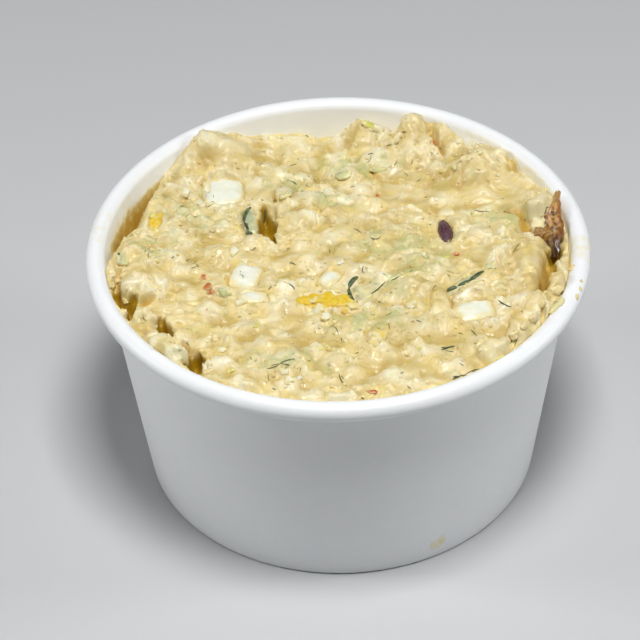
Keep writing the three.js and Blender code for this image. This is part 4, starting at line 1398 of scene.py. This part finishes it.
# %% Thin dressing where the salad ends on a piece
edge_of_dressing = soften(cleared, 1.3)
MOST_FILM = {"egg_white": 0.75, "egg_yolk": 0.2, "cucumber": 0.35, "dark_bean": 0.15}
for node, piece in sunk.items():
    spots = np.array([v.co for v in piece.data.vertices]) / MM
    bare = smooth_step(sample(edge_of_dressing, spots[:, 0], spots[:, 1]), 0.4, 1.0)
    most = next(share for kind, share in MOST_FILM.items() if node.startswith(kind))
    own = np.zeros(len(spots), np.float32)
    piece.data.attributes["film"].data.foreach_get("value", own)
    film = np.maximum(own, 0.12 + most * (1 - bare))
    piece.data.attributes["film"].data.foreach_set("value", film.astype(np.float32))
print("bare middle of the largest egg piece:", round(float(bare.max()), 2))

# %% [markdown]
# ## Herbs, flecks and crumbs
#
# Small things are placed by what the photograph shows: a line of sight through a pixel is
# followed until it lands on the salad, and the bit is laid down there, along the ground's own
# slope. So it sits on what carries it, seen from any side.

# %% Where lines of sight land
shown = tree_of(salad, crisp, wall, *sunk.values())
EYE = Vector(CAMERA_AT)


def landing(pixels):
    """The points where lines of sight through pixels land, and the ground's directions there."""
    hits = [shown.ray_cast(EYE, Vector(way)) for way in sight(pixels)]
    return np.array([hit[0] for hit in hits]), np.array([hit[1] for hit in hits])


def straight_down(x, y):
    """The points of the ground below some places, and its directions there."""
    hits = [shown.ray_cast(Vector((a, b, LOOK_FROM)), Vector((0, 0, -1))) for a, b in zip(x, y)]
    return np.array([hit[0] for hit in hits]), np.array([hit[1] for hit in hits])


print("the middle pixel lands at", landing([(320, 320)])[0].round(1))

# %% [markdown]
# ### Dill
#
# Dill leaves are threads less than half a millimetre thick. Chopped, they lie as short bent
# lines, dark against the dressing, which has pulled some of them half under. Each could be a
# curve object. One mesh of edges and a Geometry Nodes tree that turns every edge path into a
# tapered tube makes all of them at once.

# %% A tree that makes threads
threads, ends, result = geometry_tree("threads", {"Radius": "Float", "Sides": "Int",
                                                  "Material": "Material"})
paths = add_node(threads, "GeometryNodeMeshToCurve", {"Mesh": ends.outputs["Geometry"]})
taper = add_node(threads, "GeometryNodeInputNamedAttribute", {"Name": "taper"}, data_type="FLOAT")
own_radius = add_node(threads, "ShaderNodeMath",
                      {0: taper.outputs["Attribute"], 1: ends.outputs["Radius"]},
                      operation="MULTIPLY")
section = add_node(threads, "GeometryNodeCurvePrimitiveCircle",
                   {"Resolution": ends.outputs["Sides"], "Radius": 1.0})
tubes = add_node(threads, "GeometryNodeCurveToMesh", {
    "Curve": paths.outputs[0], "Profile Curve": section.outputs["Curve"],
    "Scale": own_radius.outputs[0], "Fill Caps": True})
coloured = add_node(threads, "GeometryNodeSetMaterial",
                    {"Geometry": tubes.outputs[0], "Material": ends.outputs["Material"]})
realized = add_node(threads, "GeometryNodeRealizeInstances", {"Geometry": coloured.outputs[0]})
threads.links.new(realized.outputs[0], result.inputs["Geometry"])
print("the threads' tree has", len(threads.nodes), "nodes")

# %% From lines to a piece of threads
THREAD_SIDES = 6


def add_threads(name, material, lines, radius):
    """Tapered tubes along lines, each a list of points in millimetres with its thickness."""
    points, edges, thick = [], [], []
    for line, share in lines:
        first = len(points)
        points += [tuple(p * MM) for p in line]
        edges += [(first + k, first + k + 1) for k in range(len(line) - 1)]
        thick += list(share * (1 - 0.75 * np.abs(np.linspace(-1, 1, len(line))) ** 3))
    mesh = bpy.data.meshes.new(name + "_paths")
    mesh.from_pydata(points, edges, [])
    mesh.attributes.new("taper", "FLOAT", "POINT").data.foreach_set("value", thick)
    source = bpy.data.objects.new(name + "_paths", mesh)
    bpy.context.scene.collection.objects.link(source)
    made = run_tree(source, threads, {"Radius": radius * MM, "Sides": THREAD_SIDES,
                                      "Material": material})
    piece = add_made(name, made)
    return piece


print("each thread has", THREAD_SIDES, "sides")

# %% Dill as the photograph shows it
# pixels of one end and the other, pixels that the middle bends aside, and thickness
DILL = [
    (179, 208, 185, 206, 1, 1.0), (196, 204, 199, 206, 0, 0.9), (144, 253, 147, 249, 0, 1.0),
    (170, 260, 174, 256, 0, 1.1), (185, 261, 190, 259, 0, 0.9), (189, 262, 199, 268, 2, 1.0),
    (191, 268, 200, 264, -1, 0.8), (290, 166, 297, 164, 0, 0.9), (289, 181, 297, 185, 1, 1.1),
    (303, 183, 309, 187, 0, 0.8), (303, 134, 309, 137, 0, 1.0), (329, 249, 331, 256, 0, 0.9),
    (289, 263, 296, 265, 1, 0.9), (268, 290, 272, 286, 0, 1.1), (289, 284, 295, 290, 1, 1.2),
    (333, 326, 338, 333, 1, 1.1), (338, 333, 342, 343, 1, 1.0), (401, 132, 407, 132, 0, 1.1),
    (368, 155, 374, 154, 1, 1.0), (386, 146, 392, 144, 0, 1.0), (394, 166, 397, 161, 0, 1.0),
    (457, 164, 462, 160, 0, 0.9), (353, 229, 361, 233, 1, 0.8), (370, 237, 381, 236, -3, 1.2),
    (474, 210, 489, 211, -1, 0.8), (503, 211, 513, 213, -1, 0.9), (376, 300, 381, 303, 0, 1.1),
    (498, 300, 511, 307, -1, 1.4), (521, 311, 524, 313, 0, 1.0), (514, 330, 510, 344, 1, 1.1),
    (517, 333, 514, 347, 1, 0.8), (416, 320, 421, 322, 0, 0.9), (387, 322, 389, 330, 1, 0.8),
    (428, 335, 430, 337, 0, 1.0), (458, 333, 463, 335, 1, 0.9), (471, 330, 477, 336, 0, 1.0),
    (441, 348, 448, 349, 1, 1.2), (446, 351, 454, 352, 0, 1.0), (355, 354, 359, 352, 0, 0.9),
    (459, 363, 464, 366, 0, 0.9), (452, 380, 466, 375, 1, 1.2), (465, 375, 480, 369, 1, 1.0),
    (400, 374, 404, 372, 0, 0.9), (407, 386, 411, 389, 0, 0.9), (339, 373, 347, 386, -2, 1.1),
    (267, 369, 281, 363, -1, 1.3), (279, 364, 295, 359, 1, 1.2), (270, 366, 292, 366, 2, 0.9),
    (272, 388, 276, 390, 0, 0.9), (250, 357, 252, 360, 0, 0.8), (341, 376, 344, 379, 0, 0.8),
    (186, 342, 189, 345, 0, 1.0), (361, 397, 364, 399, 0, 0.9), (453, 377, 458, 376, 0, 1.0),
    (544, 214, 546, 207, -1, 1.1), (546, 207, 552, 206, -1, 1.0), (371, 155, 366, 163, 2, 0.8),
    (416, 182, 421, 179, 0, 0.8), (252, 251, 256, 247, 0, 0.8), (432, 290, 436, 285, 0, 0.9),
]
print(len(DILL), "threads of dill")

# %% Lay lines of the photograph on the ground
STEP_PIXELS = 1.2                 # pixels between the points of a thread
THREAD_RADIUS = 0.125             # mm
LEAP = 1.2                        # mm: a thread ends where the ground jumps by more


def seen_line(x0, y0, x1, y1, bend):
    """Points along a bent line in the photograph, landed and lifted clear of the ground."""
    count = max(4, round(math.hypot(x1 - x0, y1 - y0) / STEP_PIXELS))
    t = np.linspace(0, 1, count)
    aside = bend * 4 * t * (1 - t) / math.hypot(x1 - x0, y1 - y0)
    spots, ways = landing(np.stack([x0 + (x1 - x0) * t + aside * (y1 - y0),
                                    y0 + (y1 - y0) * t - aside * (x1 - x0)], 1))
    middle = count // 2
    leaps = np.linalg.norm(np.diff(spots, axis=0), axis=1) > LEAP
    low = max([k + 1 for k in np.flatnonzero(leaps) if k < middle], default=0)
    high = min([k + 1 for k in np.flatnonzero(leaps) if k >= middle], default=count)
    spots, ways = spots[low:high], ways[low:high]
    if len(spots) > 2:
        spots[1:-1] = (spots[:-2] + 2 * spots[1:-1] + spots[2:]) / 4
    return spots + ways * 0.4 * THREAD_RADIUS


def seen_lines(table):
    """The lines of a table that show, each with its thickness."""
    lines = [(seen_line(*row[:5]), row[5]) for row in table]
    return [(line, share) for line, share in lines if len(line) > 1]


dill_lines = seen_lines(DILL)
print(len(dill_lines), "threads of dill that show")

# %% Dill dust all over
DUST = 60
DUST_RADIUS = 50                  # mm from the middle
for _ in range(DUST):
    reach, bearing = DUST_RADIUS * math.sqrt(chance.random()), chance.uniform(0, 2 * math.pi)
    length, turn = chance.uniform(0.5, 1.9), chance.uniform(0, math.pi)
    bend = chance.normal(0, 0.25)
    share = chance.uniform(0.45, 0.85)
    t = np.linspace(-0.5, 0.5, 5)
    x = reach * math.cos(bearing) + length * t * math.cos(turn) - bend * 4 * t * t * math.sin(turn)
    y = reach * math.sin(bearing) + length * t * math.sin(turn) + bend * 4 * t * t * math.cos(turn)
    spots, ways = straight_down(x, y)
    dill_lines.append((spots + ways * 0.3 * THREAD_RADIUS, share))
print(len(dill_lines), "threads in all")

# %% [markdown]
# Fresh dill is blue green. In dressing it goes olive and nearly black where it is thick, with
# a wet gloss. A thread is too thin to show a pattern of its own, so two greens that change over
# a few millimetres are enough.

# %% Dill's finish
herb_skin, tree, shader, place = new_material("chopped dill leaf")
patchy = add_node(tree, "ShaderNodeTexNoise", {"Vector": place, "Scale": 1 / (3.0 * MM)})
leaf = laid_over(tree, linear("#454a2a"), "#8f8f5c", patchy.outputs["Fac"], 0.4, 0.65)
fill(tree, shader, {"Base Color": leaf, "Roughness": 0.45})
dill = add_threads("dill_threads", herb_skin, dill_lines, THREAD_RADIUS)
print(len(dill.data.polygons), "faces of dill")

# %% [markdown]
# ### Strips of cucumber peel and onion fibres
#
# A slice lies half under the dressing, so that often only its dark peel shows as a curved
# strip. Whole slices could be modelled and buried, but nobody would see them. The threads'
# tree makes the strips from thicker lines, and a few pale fibres of onion from thinner ones.
# Peel is waxy, and looks nearly black until light catches it. A fibre of onion is clear and
# pale.

# %% Strips of peel and a few fibres
# as in DILL
PEEL = [
    (251, 207, 244, 222, -2, 4.0), (244, 222, 248, 232, 1, 2.6), (246, 233, 255, 234, 0, 3.6),
    (265, 210, 263, 224, 1, 2.0), (358, 277, 349, 288, -2, 4.6), (349, 288, 354, 300, -2, 4.2),
    (354, 300, 358, 302, 0, 2.4), (371, 294, 385, 282, -1, 1.5), (385, 282, 400, 276, -1, 1.2),
    (443, 295, 457, 287, 1, 4.2), (458, 286, 470, 280, 0, 3.2), (469, 281, 484, 271, 0, 4.6),
    (117, 252, 123, 262, 1, 3.4), (123, 262, 128, 268, 0, 4.2), (441, 350, 455, 346, 0, 2.0),
]
FIBRES = [
    (278, 188, 291, 200, 1, 1.9), (281, 186, 294, 197, 1, 1.6), (284, 185, 293, 192, 0, 1.5),
    (276, 190, 287, 200, 0, 1.4), (210, 172, 206, 186, 1, 1.6), (206, 186, 206, 198, 0, 1.3),
]
peel_skin = wet_food("cucumber peel", "#3c4a2e", "#62714e", 1.0, 0.3, 0.2, (0.6, 1.0, 0.5), 0.9)
fibre_skin = wet_food("onion fibre", "#dcd9bd", "#efecdc", 1.0, 0.3, 0.4, (1.0, 0.95, 0.8), 0.8)
for name, material, strips in (("cucumber_peel_strips", peel_skin, PEEL),
                               ("onion_fibres", fibre_skin, FIBRES)):
    lines = seen_lines(strips)
    made = add_threads(name, material, lines, THREAD_RADIUS)
    print(name, len(lines), "strips,", len(made.data.polygons), "faces")

# %% [markdown]
# ### Bits of egg, pepper and herb stalk
#
# Between the big pieces lie small ones of the same foods, one to four millimetres long, and a
# few flecks of orange red pepper. Nobody would see more than a rounded block in any of them,
# so each kind is one mesh of small blocks that are laid on the ground, half sunk.
#
# Pepper flesh is firm and juicy, and light glows through its orange. Herb stalk is pale and
# fibrous, a dull grey green, and young onion green is the most yellow of the greens. All are
# wet, and so are glossy where dressing doesn't cover them.

# %% Lay small blocks on the ground
GRAIN, GRAIN_FACES = cube_grid(8)
BIT_POWER = 2.5                   # nearly a ball


def add_bits(name, slot, material, bits, skin):
    """Small blocks: pixel x and y, length, width and height in mm, direction in degrees."""
    points, faces, skins = [], [], []
    for x, y, length, width, height, direction in bits:
        (spot,), (up,) = landing([(x, y)])
        level = np.array([math.cos(math.radians(direction)), math.sin(math.radians(direction)), 0])
        side = np.cross(up, level)
        side /= np.linalg.norm(side)
        along = np.cross(side, up)
        block = rounded(GRAIN, BIT_POWER) * np.array([length, width, height]) / 2
        block = block * (1 + 0.12 * waves(block, length / 2) + 0.05 * waves(block, 0.7))[:, None]
        first = len(points) * len(GRAIN)
        points.append(spot + block @ np.stack([along, side, up]))
        faces += [tuple(first + k for k in face) for face in GRAIN_FACES]
        skins.append(smooth_step(-GRAIN[:, 0] + 0.3 * GRAIN[:, 1], 0.5, 1.1) * skin)
    film = 0.72 - 0.3 * smooth_step(GRAIN[:, 2] - np.abs(GRAIN[:, 0]), -0.4, 0.9)
    values = {"skin": np.concatenate(skins), "film": np.tile(film, len(bits))}
    piece = add_piece(name, np.vstack(points), faces, material, values)
    return piece


print("a bit has", len(GRAIN_FACES), "faces")

# %% Finishes for pepper, stalk and onion green
pepper = wet_food("sweet pepper flesh", "#c98a4c", "#b8642a", 1.0, 0.35, 0.4, (1.0, 0.5, 0.2), 1.1)
stalk = wet_food("chopped herb stalk", "#b4c087", "#ced09a", 1.2, 0.35, 0.5, (0.8, 1.0, 0.4), 0.95)
lime = wet_food("young onion green", "#c9cc4e", "#e0da6a", 1.0, 0.35, 0.5, (0.9, 1.0, 0.3), 1.0)
print([material.name for material in (pepper, stalk, lime)])

# %% The bits
# pixel x and y, length, width and height in mm, direction in degrees
EGG_BITS = [
    (289, 381, 2.2, 2.0, 1.6, 20), (234, 252, 2.8, 1.8, 1.6, 60), (244, 262, 2.2, 1.6, 1.3, 10),
    (318, 311, 3.6, 2.6, 1.6, 10), (326, 317, 2.4, 2.0, 1.4, 40), (310, 315, 2.0, 1.6, 1.2, 0),
    (241, 303, 2.6, 1.8, 1.4, 0), (186, 192, 2.4, 1.6, 1.2, 80), (207, 188, 1.6, 4.4, 1.2, 5),
    (284, 372, 1.8, 1.4, 1.0, 0), (300, 378, 1.5, 1.1, 0.9, 30), (412, 305, 2.2, 1.6, 1.2, 30),
    (160, 250, 1.9, 1.3, 1.1, 20), (341, 263, 1.7, 1.3, 1.0, 0), (222, 350, 1.8, 1.4, 1.0, 10),
]
YOLK_BITS = [
    (354, 307, 2.8, 1.8, 1.3, 10), (346, 311, 2.2, 1.5, 1.1, 0), (314, 300, 2.0, 1.4, 1.0, 30),
    (336, 290, 2.2, 1.2, 1.0, -20), (380, 336, 3.2, 2.8, 1.4, 60), (374, 344, 1.8, 1.6, 1.0, 0),
    (156, 233, 1.6, 1.2, 0.9, 70), (324, 347, 2.2, 1.2, 0.8, 0), (466, 276, 1.6, 1.1, 0.8, 40),
    (153, 250, 1.4, 1.0, 0.8, 0), (430, 134, 2.6, 1.0, 0.8, -30),
]
PEPPER_BITS = [
    (204, 278, 2.2, 1.6, 0.9, 20), (208, 287, 2.5, 1.8, 1.0, -50), (211, 292, 2.0, 1.4, 0.9, -40),
    (456, 254, 1.5, 1.0, 0.7, 0), (373, 392, 2.4, 1.0, 0.6, 0), (377, 195, 1.3, 0.8, 0.6, 20),
    (435, 143, 0.8, 2.6, 0.7, 15),
]
STALK_BITS = [
    (224, 293, 3.2, 3.0, 1.6, 20), (344, 175, 3.8, 2.4, 1.3, 10), (378, 170, 4.2, 1.6, 1.1, -5),
    (123, 260, 3.4, 2.6, 1.6, 30), (555, 308, 5.0, 3.2, 2.0, 20), (393, 279, 4.6, 0.8, 0.8, 25),
    (426, 256, 2.6, 1.8, 1.1, 20), (490, 267, 2.6, 2.0, 1.4, 0), (150, 240, 2.6, 1.6, 1.2, -20),
    (454, 168, 2.0, 2.4, 1.2, 60), (300, 190, 1.6, 1.2, 0.8, 30), (285, 196, 3.0, 2.4, 1.2, 40),
]
LIME_BITS = [
    (231, 371, 2.0, 1.0, 0.8, 20), (420, 349, 1.6, 1.2, 0.9, 0), (256, 326, 1.6, 0.9, 0.8, 60),
    (370, 126, 5.4, 1.6, 1.2, -12), (545, 190, 1.6, 1.2, 0.8, 0), (447, 257, 1.6, 0.7, 0.6, 10),
    (320, 349, 1.8, 0.8, 0.6, 0), (500, 358, 2.2, 1.0, 0.8, 30), (152, 215, 1.2, 2.0, 0.8, 10),
]
POTATO_BITS = [
    (556, 290, 3.0, 2.4, 1.8, 40), (545, 293, 1.2, 0.9, 0.8, 0), (572, 268, 2.0, 1.4, 1.0, 80),
    (581, 281, 1.0, 0.7, 0.6, 60), (580, 289, 1.1, 0.8, 0.6, 70), (577, 297, 1.5, 1.0, 0.7, 80),
    (533, 318, 2.6, 2.0, 1.5, 60), (515, 335, 2.4, 1.8, 1.4, 40), (541, 304, 2.6, 2.0, 1.4, 0),
    (118, 281, 1.8, 1.4, 1.1, 0), (123, 275, 1.4, 1.1, 0.9, 0), (126, 301, 2.0, 1.4, 1.2, 0),
    (112, 286, 2.2, 1.6, 1.2, 40), (208, 372, 2.0, 1.6, 1.1, 20), (171, 341, 1.8, 1.4, 1.0, 0),
    (553, 300, 2.0, 1.6, 1.2, 30), (524, 326, 2.2, 1.6, 1.2, 50), (183, 222, 2.4, 2.0, 1.3, 0),
]
for name, slot, material, bits, skin in (
        ("potato_bits", "dressed_potato", potato, POTATO_BITS, 0.0),
        ("egg_white_bits", "egg_white", egg_white, EGG_BITS, 0.0),
        ("egg_yolk_bits", "egg_yolk", egg_yolk, YOLK_BITS, 0.0),
        ("pepper_flecks", "pepper_fleck", pepper, PEPPER_BITS, 0.0),
        ("herb_stalk_bits", "cucumber", stalk, STALK_BITS, 0.7),
        ("onion_green_bits", "dill", lime, LIME_BITS, 0.0)):
    made = add_bits(name, slot, material, bits, skin)
    print(name, len(bits), "bits,", len(made.data.polygons), "faces")

# %% [markdown]
# ### Crumbs
#
# Chopping and stirring wears grains of a third of a millimetre to a millimetre off potato and
# yolk. They lie all over the salad, stuck in the dressing. There are too many to place by
# hand, so Geometry Nodes spread them: points at random over the salad's top, one round grain
# with few faces on each, its size, turn and tint drawn at random, and noise that dents it.

# %% A tree that spreads crumbs
crumbs, ends, result = geometry_tree("crumbs", {
    "Density": "Float", "Smallest": "Float", "Largest": "Float", "Seed": "Int",
    "Material": "Material"})
where = add_node(crumbs, "GeometryNodeInputNamedAttribute", {"Name": "crumbly"}, data_type="FLOAT")
density = add_node(crumbs, "ShaderNodeMath",
                   {0: where.outputs["Attribute"], 1: ends.outputs["Density"]},
                   operation="MULTIPLY")
scattered = add_node(crumbs, "GeometryNodeDistributePointsOnFaces", {
    "Mesh": ends.outputs["Geometry"], "Density": density.outputs[0], "Seed": ends.outputs["Seed"]})
grain = add_node(crumbs, "GeometryNodeMeshIcoSphere", {"Radius": 1.0, "Subdivisions": 2})
spin = add_node(crumbs, "FunctionNodeRandomValue", {
    0: (0, 0, 0), 1: (0.6, 0.6, 6.3), "Seed": ends.outputs["Seed"]}, data_type="FLOAT_VECTOR")
turned_up = add_node(crumbs, "FunctionNodeRotateRotation", {
    "Rotation": scattered.outputs["Rotation"], "Rotate By": spin.outputs[0]}, rotation_space="LOCAL")
grain_size = add_node(crumbs, "FunctionNodeRandomValue", {
    2: ends.outputs["Smallest"], 3: ends.outputs["Largest"], "Seed": ends.outputs["Seed"],
}, data_type="FLOAT")
grain_shape = add_node(crumbs, "FunctionNodeRandomValue", {
    0: (0.8, 0.5, 0.3), 1: (1.3, 1.0, 0.7)}, data_type="FLOAT_VECTOR")
sized = add_node(crumbs, "ShaderNodeVectorMath", {
    0: grain_shape.outputs[0], "Scale": grain_size.outputs[1]}, operation="SCALE")
laid = add_node(crumbs, "GeometryNodeInstanceOnPoints", {
    "Points": scattered.outputs["Points"], "Instance": grain.outputs["Mesh"],
    "Rotation": turned_up.outputs[0], "Scale": sized.outputs[0]})
any_tint = add_node(crumbs, "FunctionNodeRandomValue", {2: -1.0, 3: 0.7, "Seed": 5},
                    data_type="FLOAT")
tinted = add_node(crumbs, "GeometryNodeStoreNamedAttribute", {
    "Geometry": laid.outputs[0], "Name": "tint", "Value": any_tint.outputs[1],
}, data_type="FLOAT", domain="INSTANCE")
realized = add_node(crumbs, "GeometryNodeRealizeInstances", {"Geometry": tinted.outputs[0]})
dents = add_node(crumbs, "ShaderNodeTexNoise", {"Scale": 1 / (0.6 * MM)})
centred = add_node(crumbs, "ShaderNodeVectorMath",
                   {0: dents.outputs["Color"], 1: (0.5, 0.5, 0.5)}, operation="SUBTRACT")
dented_by = add_node(crumbs, "ShaderNodeVectorMath", {0: centred.outputs[0], "Scale": 0.5 * MM},
                     operation="SCALE")
dented = add_node(crumbs, "GeometryNodeSetPosition",
                  {"Geometry": realized.outputs[0], "Offset": dented_by.outputs[0]})
coloured = add_node(crumbs, "GeometryNodeSetMaterial",
                    {"Geometry": dented.outputs[0], "Material": ends.outputs["Material"]})
crumbs.links.new(coloured.outputs[0], result.inputs["Geometry"])
print("the crumbs' tree has", len(crumbs.nodes), "nodes")

# %% Spread them
CRUMBS_A_MM2 = 0.16               # at the most, on each square millimetre
SMALLEST, LARGEST = 0.22, 0.6     # mm, a grain's radius before it is flattened
GRAIN_FACE_COUNT = 80             # triangles of one grain
source = bpy.data.objects.new("crumb_ground", salad.data)
bpy.context.scene.collection.objects.link(source)
made = run_tree(source, crumbs, {
    "Density": CRUMBS_A_MM2 / MM ** 2, "Smallest": SMALLEST * MM, "Largest": LARGEST * MM,
    "Seed": SEED, "Material": potato})
grains = add_made("potato_crumbs", made)
print(len(grains.data.polygons) // GRAIN_FACE_COUNT, "crumbs")

# %% [markdown]
# ## Floor and light
#
# The real cup was lit softly from above and a little from both sides, so its shadows are soft.
# A picture of a whole sky could light it too, but three square lights are easier to move. The
# floor is a pale, matt table that is only there to stand the cup on.

# %% The floor
FLOOR = 3                         # metres from the middle to each edge
table = bpy.data.materials.new("matt pale table")
table.use_nodes = True
fill(table.node_tree, table.node_tree.nodes["Principled BSDF"],
     {"Base Color": linear("#c9cacb"), "Roughness": 0.8})
floor = bpy.data.objects.new("floor", bpy.data.meshes.new("floor"))
corners = [(-FLOOR, -FLOOR, 0), (FLOOR, -FLOOR, 0), (FLOOR, FLOOR, 0), (-FLOOR, FLOOR, 0)]
floor.data.from_pydata(corners, [], [(0, 1, 2, 3)])
floor.data.materials.append(table)
bpy.context.scene.collection.objects.link(floor)
floor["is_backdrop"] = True
print("the floor is", 2 * FLOOR, "metres wide")

# %% The light
CUP_MIDDLE = Vector((0, 0, 0.05))
scene = bpy.context.scene
if scene.world is None:
    scene.world = bpy.data.worlds.new("studio")
scene.world.use_nodes = True
fill(scene.world.node_tree, scene.world.node_tree.nodes["Background"],
     {"Color": (1, 1, 1, 1), "Strength": 0.02})


def add_softbox(name, spot, size, watts):
    """A square soft light that faces the cup, sizes in metres."""
    box = bpy.data.objects.new(name, bpy.data.lights.new(name, "AREA"))
    box.data.size = size
    box.data.energy = watts
    box.location = spot
    box.rotation_euler = (Vector(spot) - CUP_MIDDLE).to_track_quat("Z", "Y").to_euler()
    scene.collection.objects.link(box)
    print(name, "gives", watts, "watts")


add_softbox("above", (0.05, -0.19, 0.8), 0.22, 5.3)
add_softbox("left", (-0.75, 0.0, 0.4), 0.2, 1.9)
add_softbox("right", (0.75, 0.0, 0.4), 0.2, 1.65)
scene.view_settings.view_transform = "Standard"

# %% Sizes, and the end
print(len(bpy.data.materials), "materials")
size_of = lambda box: [list(corner) for corner in box]
{"cad": size_of(cad_box), "visual": size_of(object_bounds())}
